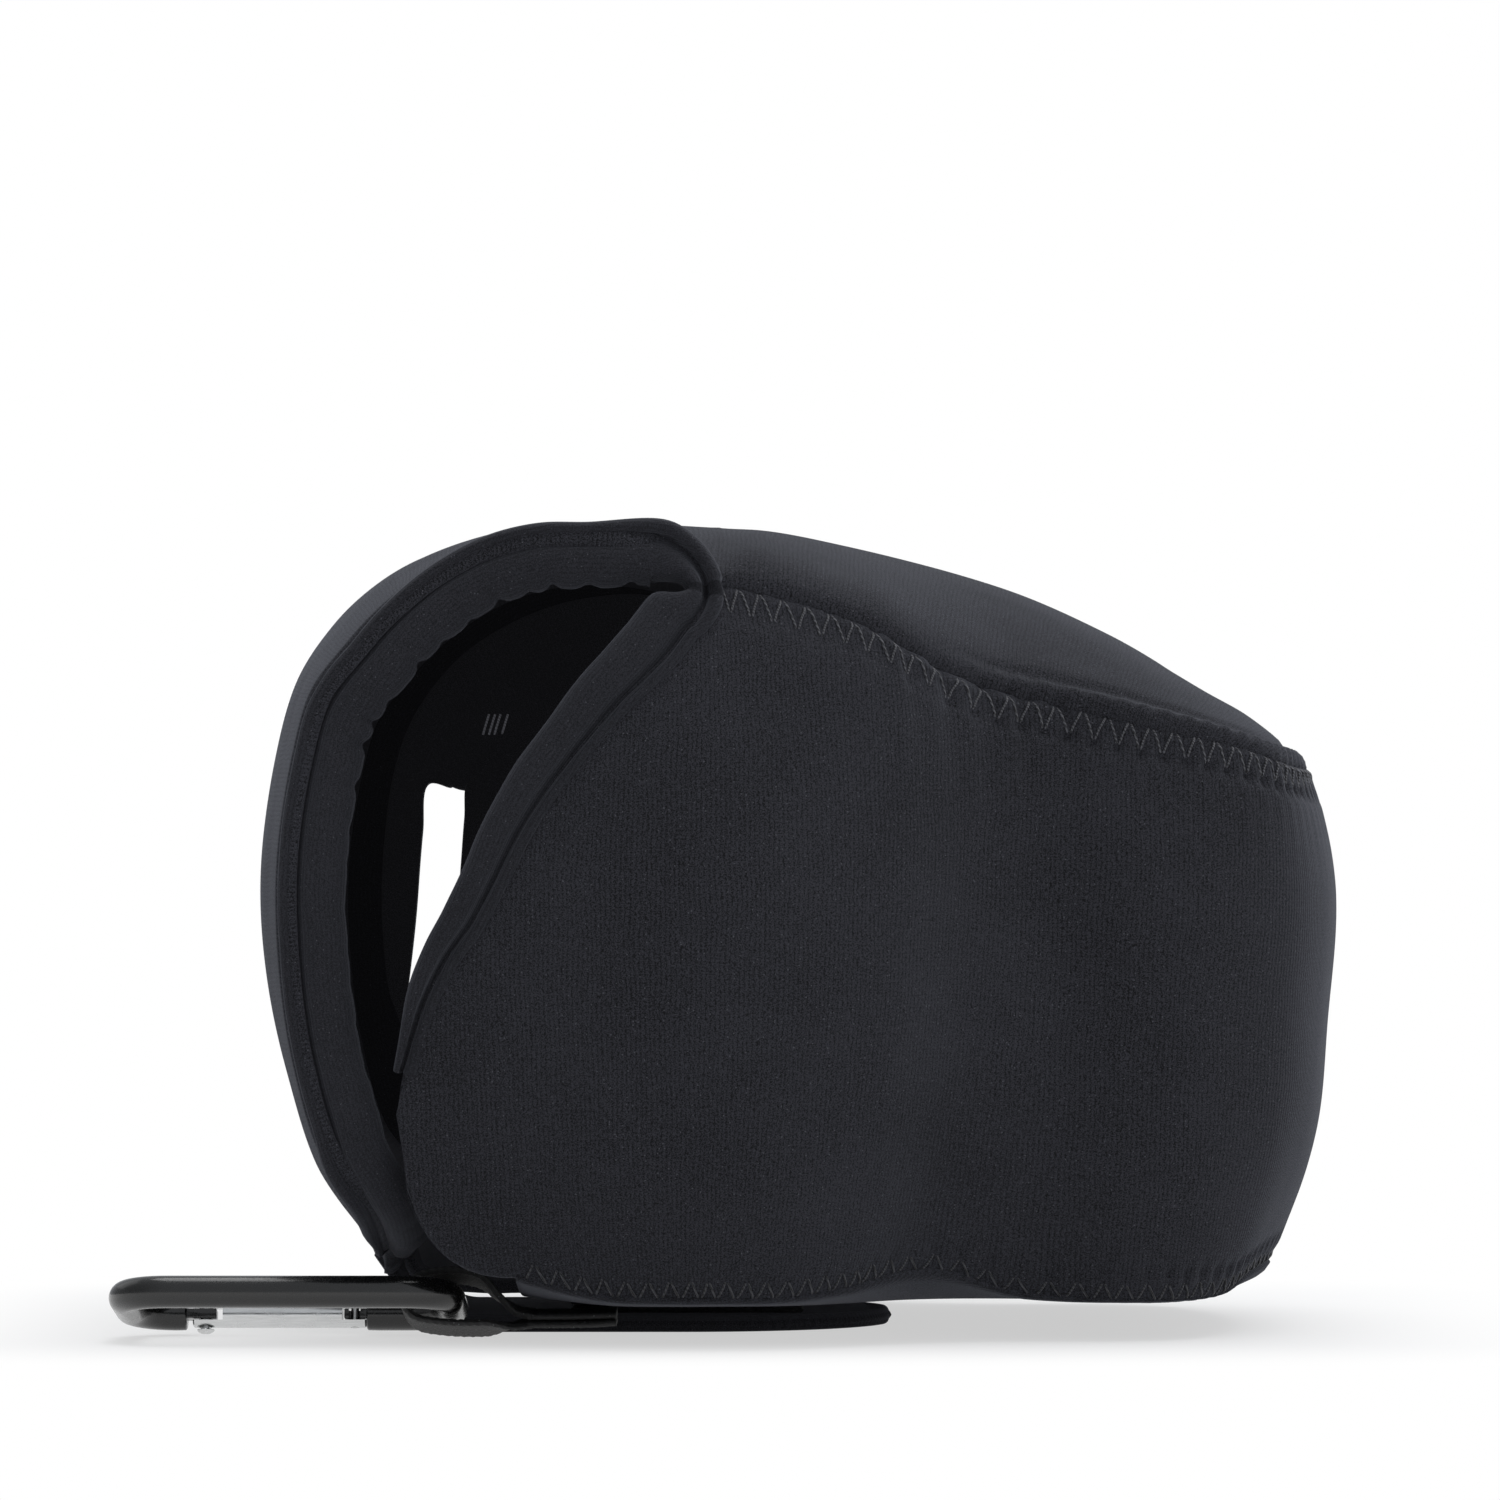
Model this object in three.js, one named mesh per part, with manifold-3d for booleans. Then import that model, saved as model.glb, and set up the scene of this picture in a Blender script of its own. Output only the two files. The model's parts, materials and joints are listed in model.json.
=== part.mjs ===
// Soft camera case: a padded fabric shell with a lens end, a rear flap that closes under the base,
// and a snap hook on a webbing loop. Millimetres. +X is the way the lens points and +Z is up.
// The origin is on the flat underside of the closure tab, which the case stands on.
import * as THREE from "three";
import { mergeVertices } from "three/addons/utils/BufferGeometryUtils.js";
import Module from "manifold-3d";

const wasm = await Module();
wasm.setup();

// Fabric
const wall = 3;
const seamGap = 0.3;

// Shell, in plan. Widths are from the middle to the outer face.
const sideRearX = -48.2;
const gripRearX = -20;
const hingeX = -5.5;
const gripFrontX = 7;
const gripEndX = 18;
const waistX = 28;
const neckX = 38;
const lensX = 50;
const lensMiddleX = 61;
const lensCornerX = 70.5;
const frontCornerX = 76;
const lensFrontX = 79.2;
const rearHalf = 60;
const bodyHalf = 69;
const waistHalf = 50.2;
const lensHalf = 46.2;
const waistLean = 6;
const waistStation = 6;
const waistReach = 2;
const frontLean = 4.4;
const frontLeanReach = 3;

// Shell, in height
const bodySeamZ = 100.6;
const gripFrontSeamZ = 98.2;
const gripEndSeamZ = 94;
const waistSeamZ = 87.8;
const neckSeamZ = 85.2;
const lensSeamZ = 82.6;
const lensMiddleSeamZ = 80.6;
const lensCornerSeamZ = 78.4;
const frontSeamZ = 77.5;
const humpZ = 111.4;
const neckRidgeZ = 102.2;
const lensRidgeZ = 96;
const lensMiddleRidgeZ = 89.4;
const lensCornerRidgeZ = 83.6;
const baseSeamZ = 6.6;
const gripEndBaseZ = 7.8;
const waistBaseZ = 9.4;
const neckBaseZ = 6.4;
const lensBaseZ = 5.6;
const cornerBaseZ = 6.2;
const frontBaseZ = 8.8;
const undersideZ = 4.3;
const edgeRiseReach = 1.2;

// How square the top and the bottom panel are across, with more of it near their rear edge
const crownPower = 2.5;
const crownRearPower = 2.1;
const crownRearReach = 0.22;
const underPower = 4;
const underRearPower = 1.8;
const underRearReach = 0.15;
const frontPower = 8;

// Rear edge of a side: a rounded lower corner, then a long diagonal up to the flap's hinge
const cornerX = -34;
const cornerZ = 9.4;
const rearEdgeZ = 30;
const cornerPower = 2.1;
const diagonalRise = [
  [sideRearX, rearEdgeZ + 1.6],
  [-46.8, 38],
  [-43.9, 46],
  [-42.4, 49.5],
  [-36.9, 57.5],
  [-30, 71],
  [-21, 83],
  [-11.6, 92.6],
  [hingeX, bodySeamZ],
];

// Folded strip round each side opening
const stripWidth = 5;
const stripThickness = 5;
const stripEndWidth = 1.4;
const stripTaper = 1.2;
const stripSides = 10;
const turnWidth = 2.6;
const turnSteps = 8;
const turnLine = [
  [-5.2, -2.6],
  [-3.1, -0.5],
  [-2.9, 1],
  [-4.6, 1.9],
  [-8, 1.7],
];

// Rear flap: its middle line from the top panel to the fold, on the outer face. It bends at the hinge,
// a share of the way along, and the part before that belongs to the top panel.
const flapRearX = -69;
const flapHingeShare = 0.055;
const flapStartHalf = 55;
const flapHalf = 60.5;
const flapFootHalf = 55;
const flapEndHalf = 22.5;
const flapPower = 2.2;
const flapStartPower = 2.4;
const flapStartReach = 0.1;
const flapStripFirstShare = 0.066;
const flapStripLastShare = 0.94;
const flapWidthSteps = 14;
const flapStripSteps = 32;
const flapStripDepth = 5.2;
const flapLine = [
  [hingeX - seamGap, humpZ - 0.9],
  [-18, humpZ],
  [-31, humpZ - 1],
  [-43, humpZ - 3.9],
  [-51, humpZ - 7.7],
  [-57.9, humpZ - 13.3],
  [-63.4, humpZ - 21],
  [-67.1, humpZ - 32],
  [flapRearX, humpZ - 46],
  [-68.3, 51],
  [-65.7, 36.5],
  [-61.2, 22.6],
  [-55.3, 12.6],
  [-52, 8],
];

// Webbing loop under the rear right corner
const webbingThickness = 0.9;
const webbingWidth = 11;
const webbingInset = 31;
const webbingY = webbingInset - bodyHalf;
const webbingRootX = -30;
const webbingRootLength = 11;
const loopSteps = 24;
const loopLine = [
  [webbingRootX - 0.3, 2.35],
  [-36, 1.7],
  [-42.5, 1.8],
  [-46.4, 2.7],
  [-47.7, 5],
  [-45.8, 7.8],
  [-41.5, 8.7],
  [-37.4, 8],
  [-34.8, 5.7],
  [-32.6, 4],
  [webbingRootX - 0.3, 3.55],
];

// Snap hook: a rod bent to a rounded rectangle, tilted so that its long rail lies high
const hookLength = 47.6;
const hookWidth = 25;
const hookRod = 4.3;
const hookCorner = 6;
const hookSides = 12;
const pinSides = 12;
const hookCornerSteps = 6;
const hookEndX = -39.3;
const hookMiddleZ = 4.95;
const hookTilt = THREE.MathUtils.degToRad(12);
const gateRod = 3.6;
const gateBore = 2;
const gateRivetInset = 11.8;
const gateBack = 1.7;
const gateLength = 23.5;
const springLength = 14;
const springWire = 0.7;
const springSides = 6;
const tongueThickness = 1.3;
const tongueHeight = 3;
const bladeHeight = 2.8;
const bladeReach = 3;
const rivetDiameter = 1.5;
const rivetHeadDiameter = 2.4;
const rivetHeadHeight = 0.6;
const pinDiameter = 1.1;
const pinInset = 1.6;
const pinClearance = 0.05;
const smallGap = 0.25;

// Closure tab and its two fastener patches
const tabThickness = 2.2;
const tabHookGap = 3.5;
const tabHalf = -webbingY - hookWidth / 2 - tabHookGap;
const tabFlatX = -40;
const tabFrontX = 18;
const tabTaper = 28;
const tabEndAngle = THREE.MathUtils.degToRad(80);
const tabCurl = 5;
const tabCurveSteps = 6;
const tabTaperSteps = 7;
const patchThickness = 0.8;
const patchStartX = -26;
const patchEndX = 6;
const patchSideMargin = 7;
const patchHalf = tabHalf - patchSideMargin;

// Zigzag stitching on the wall beside the top and the bottom seam
const stitchPitch = 3.4;
const topStitchHeight = 3.6;
const bottomStitchHeight = 2.8;
const stitchEdge = 0.6;
const threadWidth = 1;
const threadHeight = 0.44;
const threadLift = 0.5;
const threadInset = 0.15;
const probeCount = 240;

const softBlack = { color: 0x24262b, roughness: 0.95, metalness: 0 };
const stripBlack = { color: 0x2a2b30, roughness: 0.95, metalness: 0 };
const threadGrey = { color: 0x34363b, roughness: 0.8, metalness: 0 };
const patchBlack = { color: 0x141416, roughness: 1, metalness: 0 };
const webbingBlack = { color: 0x1c1d20, roughness: 0.9, metalness: 0 };
const blackMetal = { color: 0x0b0b0d, roughness: 0.25, metalness: 0.6 };
const silverMetal = { color: 0xb9bcc0, roughness: 0.3, metalness: 1 };

// A smooth height line through [x, height] points, read at any x.
function through(points) {
  const slopes = points.map((point, i) => {
    const before = points[Math.max(i - 1, 0)];
    const after = points[Math.min(i + 1, points.length - 1)];
    return (after[1] - before[1]) / (after[0] - before[0]);
  });
  return (x) => {
    let i = 0;
    while (i < points.length - 2 && x > points[i + 1][0]) i += 1;
    const span = points[i + 1][0] - points[i][0];
    const t = THREE.MathUtils.clamp((x - points[i][0]) / span, 0, 1);
    const ease = t * t * (3 - 2 * t);
    const bendIn = t * (1 - t) * (1 - t) * span * slopes[i];
    const bendOut = t * t * (t - 1) * span * slopes[i + 1];
    return points[i][1] * (1 - ease) + points[i + 1][1] * ease + bendIn + bendOut;
  };
}

// A closed solid from points and triangles, turned so that its faces point outwards.
function solidFrom(points, triangles) {
  const cross = new THREE.Vector3();
  let sum = 0;
  for (let i = 0; i < triangles.length; i += 3) {
    const [a, b, c] = [0, 1, 2].map((j) => points[triangles[i + j]]);
    sum += a.dot(cross.crossVectors(b, c));
  }
  const index = sum < 0 ? [...triangles].reverse() : triangles;
  const geometry = new THREE.BufferGeometry().setFromPoints(points);
  geometry.setIndex(index);
  geometry.computeVertexNormals();
  return geometry;
}

// A sheet with two faces, each a grid of points, closed round its four edges.
function sheetSolid(outer, inner) {
  const rows = outer.length;
  const columns = outer[0].length;
  const triangles = [];
  const at = (face, i, j) => (face * rows + i) * columns + j;
  const quad = (a, b, c, d) => triangles.push(a, b, c, a, c, d);
  for (let i = 0; i < rows - 1; i += 1) {
    for (let j = 0; j < columns - 1; j += 1) {
      quad(at(0, i, j), at(0, i + 1, j), at(0, i + 1, j + 1), at(0, i, j + 1));
      quad(at(1, i, j), at(1, i, j + 1), at(1, i + 1, j + 1), at(1, i + 1, j));
    }
    const end = columns - 1;
    quad(at(0, i, 0), at(1, i, 0), at(1, i + 1, 0), at(0, i + 1, 0));
    quad(at(0, i, end), at(0, i + 1, end), at(1, i + 1, end), at(1, i, end));
  }
  for (let j = 0; j < columns - 1; j += 1) {
    const end = rows - 1;
    quad(at(0, 0, j), at(0, 0, j + 1), at(1, 0, j + 1), at(1, 0, j));
    quad(at(0, end, j), at(1, end, j), at(1, end, j + 1), at(0, end, j + 1));
  }
  return solidFrom([...outer.flat(), ...inner.flat()], triangles);
}

// A solid through a row of closed rings with equal point counts, capped at both ends.
function loftSolid(rings) {
  const count = rings[0].length;
  const triangles = [];
  for (let k = 0; k < rings.length - 1; k += 1) {
    for (let i = 0; i < count; i += 1) {
      const a = k * count + i;
      const b = k * count + ((i + 1) % count);
      triangles.push(a, b, b + count, a, b + count, a + count);
    }
  }
  const last = (rings.length - 1) * count;
  for (let i = 1; i < count - 1; i += 1) {
    triangles.push(0, i + 1, i);
    triangles.push(last, last + i, last + i + 1);
  }
  return solidFrom(rings.flat(), triangles);
}

// The points of an ellipse in the plane of two directions.
function ringAt(centre, across, up, width, height, sides) {
  return Array.from({ length: sides }, (unused, i) => {
    const angle = ((i + 0.5) / sides) * 2 * Math.PI;
    return centre
      .clone()
      .addScaledVector(across, (Math.cos(angle) * width) / 2)
      .addScaledVector(up, (Math.sin(angle) * height) / 2);
  });
}

// Geometry to a solid for cutting and joining, and back.
function toSolid(geometry) {
  const bare = geometry.clone();
  bare.deleteAttribute("normal");
  bare.deleteAttribute("uv");
  const merged = mergeVertices(bare, 1e-4);
  const mesh = new wasm.Mesh({
    numProp: 3,
    vertProperties: new Float32Array(merged.attributes.position.array),
    triVerts: new Uint32Array(merged.index.array),
  });
  return new wasm.Manifold(mesh);
}

function fromSolid(solid) {
  const mesh = solid.getMesh();
  const geometry = new THREE.BufferGeometry();
  geometry.setAttribute("position", new THREE.BufferAttribute(mesh.vertProperties, 3));
  geometry.setIndex(new THREE.BufferAttribute(mesh.triVerts, 1));
  geometry.computeVertexNormals();
  return geometry;
}

function box(width, depth, height, x, y, z) {
  return new THREE.BoxGeometry(width, depth, height).translate(x, y, z);
}

function rod(diameter, length, sides) {
  return new THREE.CylinderGeometry(diameter / 2, diameter / 2, length, sides);
}

const mirrored = (points) => points.map((p) => new THREE.Vector3(p.x, -p.y, p.z));

// The shell's plan line as stations from the rear edge of the right side to the middle of the front.
// inTop and inBase are how far the wall leans in at its top and bottom seams.
const stations = [
  { x: sideRearX, half: rearHalf, seam: bodySeamZ, base: baseSeamZ, inTop: 8, inBase: 7 },
  { x: cornerX, half: bodyHalf - 4.6, seam: bodySeamZ, base: baseSeamZ, inTop: 8, inBase: 8 },
  { x: gripRearX, half: bodyHalf - 0.9, seam: bodySeamZ, base: baseSeamZ, inTop: 9, inBase: 8 },
  { x: hingeX, half: bodyHalf, seam: bodySeamZ, base: baseSeamZ, inTop: 9, inBase: 8 },
  { x: gripFrontX, half: bodyHalf - 3.6, seam: gripFrontSeamZ, base: baseSeamZ, inTop: 8, inBase: 7 },
  { x: gripEndX, half: bodyHalf - 9.4, seam: gripEndSeamZ, base: gripEndBaseZ, inTop: 6, inBase: 6 },
  { x: waistX, half: waistHalf, seam: waistSeamZ, base: waistBaseZ, inTop: 3.5, inBase: 4 },
  { x: neckX, half: lensHalf, seam: neckSeamZ, base: neckBaseZ, inTop: 3, inBase: 4 },
  { x: lensX, half: lensHalf, seam: lensSeamZ, base: lensBaseZ, inTop: 3, inBase: 4.5 },
  { x: lensMiddleX, half: lensHalf - 2, seam: lensMiddleSeamZ, base: lensBaseZ, inTop: 3.5, inBase: 6 },
  { x: lensCornerX, half: lensHalf - 8.5, seam: lensCornerSeamZ, base: cornerBaseZ, inTop: 4.5, inBase: 7.5 },
  { x: frontCornerX, half: lensHalf - 18.7, seam: frontSeamZ, base: frontBaseZ - 0.8, inTop: 5.5, inBase: 7.5 },
  { x: lensFrontX - 0.6, half: 14, seam: frontSeamZ, base: frontBaseZ, inTop: 5.5, inBase: 6.5 },
  { x: lensFrontX, half: 0, seam: frontSeamZ + 0.6, base: frontBaseZ, inTop: 5.5, inBase: 6.5 },
];
const frontStation = stations.length - 1;
const hingeStation = 3;
const frontCornerStation = 10;
const allStations = [...stations, ...stations.slice(0, -1).reverse()];
const planLine = new THREE.CatmullRomCurve3(
  allStations.map((s, i) => new THREE.Vector3(s.x, i > frontStation ? s.half : -s.half, 0)),
);
const stationValue = (name) => through(allStations.map((s, i) => [i, s[name]]));
const seamZ = stationValue("seam");
const baseZ = stationValue("base");
const inTop = stationValue("inTop");
const inBase = stationValue("inBase");

// A point on the shell's wall at station k and height z, some depth in from the outer face.
function wallPoint(k, z, depth) {
  const t = k / (allStations.length - 1);
  const plan = planLine.getPoint(t);
  const along = planLine.getTangent(t);
  const outward = new THREE.Vector3(along.y, -along.x, 0);
  const h = (z - baseZ(k)) / (seamZ(k) - baseZ(k)) - 0.5;
  const inset = 4 * h * h * (h > 0 ? inTop(k) : inBase(k));
  const side = Math.min(k, 2 * frontStation - k);
  const waist = waistLean * Math.exp(-(((side - waistStation) / waistReach) ** 2));
  const fromFront = (frontStation - side) / frontLeanReach;
  const front = frontLean * (1 - THREE.MathUtils.smoothstep(fromFront, 1, 2));
  const point = plan.addScaledVector(outward, -inset - depth);
  return new THREE.Vector3(point.x + (waist + front) * h, point.y, z);
}

// Stations of the wall's columns, closer together round the rear lower corner.
const sideSteps = [6, 4, 3, 2, 2, 3, 3, 3, 2, 2, 2, 2, 2];
const rightColumns = sideSteps.flatMap((steps, k) => {
  return Array.from({ length: steps }, (unused, i) => k + i / steps);
});
const leftColumns = rightColumns.map((k) => 2 * frontStation - k).reverse();
const columns = [...rightColumns, frontStation, ...leftColumns];
const columnsFrom = (first, last) => columns.filter((k) => k >= first - 1e-6 && k <= last + 1e-6);
const cornerStation = 1;

const diagonalZ = through(diagonalRise);

// Lower edge of the wall: free and rounded at the rear corner, then the seam to the bottom panel.
function lowEdge(k) {
  const side = Math.min(k, 2 * frontStation - k);
  if (side >= cornerStation) return baseZ(k) + edgeRise(side);
  const x = planLine.getPoint(side / (allStations.length - 1)).x;
  const reach = THREE.MathUtils.clamp((cornerX - x) / (cornerX - sideRearX), 0, 1);
  const bend = 1 - (1 - reach ** cornerPower) ** (1 / cornerPower);
  return cornerZ + (rearEdgeZ - cornerZ) * bend;
}

// The bottom seam climbs a little towards the rear corner.
function edgeRise(side) {
  const reach = Math.max(0, 1 - (side - cornerStation) / edgeRiseReach);
  return (cornerZ - baseSeamZ) * reach * reach;
}

// Upper edge of the wall: free along the diagonal, then the seam to the top panel.
function highEdge(k) {
  const side = Math.min(k, 2 * frontStation - k);
  if (side >= hingeStation) return seamZ(k);
  return diagonalZ(planLine.getPoint(side / (allStations.length - 1)).x);
}

function wrapPanel() {
  const rows = 10;
  const face = (depth) =>
    columns.map((k) => {
      const side = Math.min(k, 2 * frontStation - k);
      const low = lowEdge(k) + (side >= cornerStation ? depth : 0);
      const high = highEdge(k) - (side >= hingeStation ? depth : 0);
      return Array.from({ length: rows + 1 }, (unused, r) => {
        return wallPoint(k, THREE.MathUtils.lerp(low, high, r / rows), depth);
      });
    });
  return sheetSolid(face(0), face(wall));
}

// A grid of points between a right edge, its mirror image and a front edge that runs between them.
function coveringGrid(right, front, height) {
  const left = mirrored(right);
  const last = right.length - 1;
  return right.map((edgePoint, i) => {
    const v = i / last;
    return front.map((frontPoint, j) => {
      const u = j / (front.length - 1);
      const across = edgePoint.clone().lerp(left[i], u);
      const rearPoint = right[0].clone().lerp(left[0], u);
      const frontLine = right[last].clone().lerp(left[last], u);
      const along = rearPoint.clone().lerp(frontPoint, v);
      const point = across.add(along).sub(rearPoint.lerp(frontLine, v));
      point.z = height(point, Math.abs(2 * u - 1), v);
      return point;
    });
  });
}

const ridgeZ = through([
  [hingeX, humpZ - 0.9],
  [gripFrontX - 3, humpZ - 1.8],
  [gripEndX - 1, humpZ - 4.3],
  [neckX - 4, neckRidgeZ],
  [lensX - 2, lensRidgeZ],
  [lensMiddleX, lensMiddleRidgeZ],
  [lensCornerX - 0.5, lensCornerRidgeZ],
  [lensFrontX - 4, frontSeamZ + 1.2],
]);

// Share of the ridge's height that a point has, by its place from the middle (0) to the edge (1).
function crownShare(side, v) {
  const power = crownPower + crownRearPower * Math.max(0, 1 - v / crownRearReach) ** 2;
  return (1 - side ** power) * (1 - v ** frontPower);
}

function bottomPanel() {
  const face = (depth) => {
    const edge = (k) => wallPoint(k, lowEdge(k), depth).setZ(lowEdge(k) - seamGap + depth);
    const right = columnsFrom(cornerStation, frontCornerStation).map(edge);
    const front = columnsFrom(frontCornerStation, 2 * frontStation - frontCornerStation).map(edge);
    return coveringGrid(right, front, (p, side, v) => {
      const power = underPower - underRearPower * Math.max(0, 1 - v / underRearReach);
      const share = (1 - side ** power) * (1 - v ** frontPower);
      return THREE.MathUtils.lerp(p.z, undersideZ + depth, share);
    });
  };
  return sheetSolid(face(0), face(wall));
}

// The rounded strip along a side's diagonal edge and round the turn at the flap's hinge.
function sideStrip() {
  const inward = new THREE.Vector3(0, 1, 0);
  const ring = (centre, along, width) => {
    const across = new THREE.Vector3().crossVectors(along, inward).normalize();
    return ringAt(centre, across, inward, width, stripThickness, stripSides);
  };
  const edge = columnsFrom(0, hingeStation)
    .slice(1, -1)
    .map((k) => wallPoint(k, highEdge(k), wall / 2));
  const rings = edge.map((point, i) => {
    const before = edge[Math.max(i - 1, 0)];
    const after = edge[Math.min(i + 1, edge.length - 1)];
    const along = after.clone().sub(before).setY(0).normalize();
    const width = Math.min(stripWidth, stripEndWidth + i * stripTaper);
    const away = new THREE.Vector3(-along.z, 0, along.x);
    const centre = point.clone().addScaledVector(away, width / 2 + seamGap);
    return ring(centre, along, width);
  });
  const seam = wallPoint(hingeStation, seamZ(hingeStation), wall / 2);
  const turn = new THREE.CatmullRomCurve3(
    turnLine.map(([x, z]) => new THREE.Vector3(hingeX + x, seam.y, seam.z + z)),
  );
  for (let i = 0; i <= turnSteps; i += 1) {
    rings.push(ring(turn.getPoint(i / turnSteps), turn.getTangent(i / turnSteps), turnWidth));
  }
  return loftSolid(rings);
}

const flapCurve = new THREE.CatmullRomCurve3(flapLine.map(([x, z]) => new THREE.Vector3(x, 0, z)));
const hingeGap = seamGap / 2 / flapCurve.getLength();
const flapCamber = through([
  [0, 5.6],
  [0.08, 3],
  [0.14, 2.4],
  [0.19, 2.8],
  [0.25, 4.4],
  [0.3, 6],
  [0.38, 7],
  [0.46, 5.8],
  [0.65, 4.7],
  [0.8, 4.3],
  [0.9, 3.8],
  [0.96, 2],
  [1, 0],
]);
const flapWidth = through([
  [0, flapStartHalf],
  [0.045, flapStartHalf],
  [0.085, flapHalf],
  [0.5, flapHalf],
  [0.72, flapHalf - 1],
  [0.86, flapFootHalf + 2],
  [0.92, flapFootHalf - 1],
  [0.955, flapFootHalf - 8],
  [0.98, flapEndHalf + 8],
  [1, flapEndHalf],
]);

// A point on the flap: u runs from the hinge to the fold, side from -1 to 1 across it.
function flapPoint(u, side, depth) {
  const base = flapCurve.getPointAt(u);
  const along = flapCurve.getTangentAt(u);
  const outward = new THREE.Vector3(along.z, 0, -along.x);
  const power = flapPower + flapStartPower * Math.max(0, 1 - u / flapStartReach) ** 2;
  const inset = flapCamber(u) * Math.abs(side) ** power;
  base.addScaledVector(outward, -inset - depth);
  base.y = side * flapWidth(u);
  return base;
}

// A row of points straight across the flap's line.
function flapRow(u, widthSteps, depth) {
  return Array.from({ length: widthSteps + 1 }, (unused, j) => {
    return flapPoint(u, (2 * j) / widthSteps - 1, depth);
  });
}

// The top panel, with a tongue behind it that reaches back to the flap's hinge.
function topPanel() {
  const face = (depth) => {
    const edge = (k) => wallPoint(k, seamZ(k), depth).setZ(seamZ(k) + seamGap - depth);
    const right = columnsFrom(hingeStation, frontCornerStation).map(edge);
    right[0].setX(hingeX);
    const front = columnsFrom(frontCornerStation, 2 * frontStation - frontCornerStation).map(edge);
    const cover = coveringGrid(right, front, (p, side, v) => {
      return THREE.MathUtils.lerp(p.z, ridgeZ(p.x) - depth, crownShare(side, v));
    });
    const tongue = [flapHingeShare - hingeGap, flapHingeShare / 2].map((u) => {
      return flapRow(u, front.length - 1, depth);
    });
    return [...tongue, ...cover];
  };
  return sheetSolid(face(0), face(wall));
}

function rearFlap() {
  const lengthSteps = 40;
  const face = (depth) =>
    Array.from({ length: lengthSteps + 1 }, (unused, i) => {
      const u = THREE.MathUtils.lerp(flapHingeShare + hingeGap, 1, i / lengthSteps);
      return flapRow(u, flapWidthSteps, depth);
    });
  return sheetSolid(face(0), face(wall));
}

// The rounded strip under an edge of the flap; side is -1 on the right and 1 on the left.
function flapStrip(side) {
  const rings = [];
  for (let i = 0; i <= flapStripSteps; i += 1) {
    const u = THREE.MathUtils.lerp(flapStripFirstShare, flapStripLastShare, i / flapStripSteps);
    const half = flapWidth(u);
    const share = (side * (half - stripWidth / 2)) / half;
    const centre = flapPoint(u, share, wall + seamGap + flapStripDepth / 2);
    const along = flapCurve.getTangentAt(u);
    const outward = new THREE.Vector3(along.z, 0, -along.x);
    rings.push(ringAt(centre, new THREE.Vector3(0, 1, 0), outward, stripWidth, flapStripDepth, stripSides));
  }
  return loftSolid(rings);
}

// The tab: a curve from the flap's fold down to the flat part, with two rounded front corners.
function closureTab() {
  const fold = flapCurve.getPointAt(1);
  const along = flapCurve.getTangentAt(1);
  const start = fold.clone().addScaledVector(along, seamGap);
  const curve = new THREE.CubicBezierCurve3(
    start,
    start.clone().addScaledVector(along, tabCurl),
    new THREE.Vector3(tabFlatX - tabCurl, 0, 0),
    new THREE.Vector3(tabFlatX, 0, 0),
  );
  const rows = [];
  const addRow = (point, direction, half) => {
    const inward = new THREE.Vector3(-direction.z, 0, direction.x);
    rows.push([-1, 0, 1].map((side) => [point.clone().setY(side * half), inward]));
  };
  for (let i = 0; i <= tabCurveSteps; i += 1) {
    const t = i / tabCurveSteps;
    addRow(curve.getPoint(t), curve.getTangent(t), tabHalf);
  }
  const forward = new THREE.Vector3(1, 0, 0);
  for (let i = 0; i <= tabTaperSteps; i += 1) {
    const angle = (i / tabTaperSteps) * tabEndAngle;
    const x = tabFrontX - tabTaper * (1 - Math.sin(angle));
    addRow(new THREE.Vector3(x, 0, 0), forward, tabHalf * Math.cos(angle));
  }
  const face = (depth) =>
    rows.map((row) => row.map(([point, inward]) => point.clone().addScaledVector(inward, depth)));
  return sheetSolid(face(0), face(tabThickness));
}

function fastenerPatch(bottomZ) {
  const length = patchEndX - patchStartX;
  const middleX = (patchStartX + patchEndX) / 2;
  return box(length, 2 * patchHalf, patchThickness, middleX, 0, bottomZ + patchThickness / 2);
}

const bandCorners = [
  [-1, -1],
  [1, -1],
  [1, 1],
  [-1, 1],
];

// The loop: one layer of webbing from its lower root round the hook's end bar and back to the root.
function webbingLoop() {
  const path = new THREE.CatmullRomCurve3(loopLine.map(([x, z]) => new THREE.Vector3(x, webbingY, z)));
  const rings = [];
  for (let i = 0; i <= loopSteps; i += 1) {
    const centre = path.getPoint(i / loopSteps);
    const along = path.getTangent(i / loopSteps);
    const across = new THREE.Vector3(-along.z, 0, along.x);
    const slope = Math.tan(hookTilt) * THREE.MathUtils.smoothstep(webbingRootX - centre.x, 2, 7);
    const ring = bandCorners.map(([side, face]) => {
      const corner = centre.clone().addScaledVector(across, (face * webbingThickness) / 2);
      const reach = (side * webbingWidth) / 2;
      return corner.setY(webbingY + reach).setZ(corner.z - slope * reach);
    });
    rings.push(ring);
  }
  return loftSolid(rings);
}

function webbingRoot() {
  const [lowest, highest] = [loopLine[0][1], loopLine[loopLine.length - 1][1]];
  const height = highest - lowest + webbingThickness;
  const middleX = webbingRootX + webbingRootLength / 2;
  return box(webbingRootLength, webbingWidth, height, middleX, webbingY, (lowest + highest) / 2);
}

// The hook's own frame has its middle at the origin, its end bar at +X and its gate at +Y.
const railY = (hookWidth - hookRod) / 2;
const barX = (hookLength - hookRod) / 2;
const rivetX = -hookLength / 2 + gateRivetInset;
const gateStartX = rivetX - gateBack;
const gateEndX = gateStartX + gateLength;
const noseX = gateEndX + smallGap;
const stubX = rivetX - Math.hypot(gateBack, gateRod / 2) - smallGap;
const pinX = gateEndX - pinInset;

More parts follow.
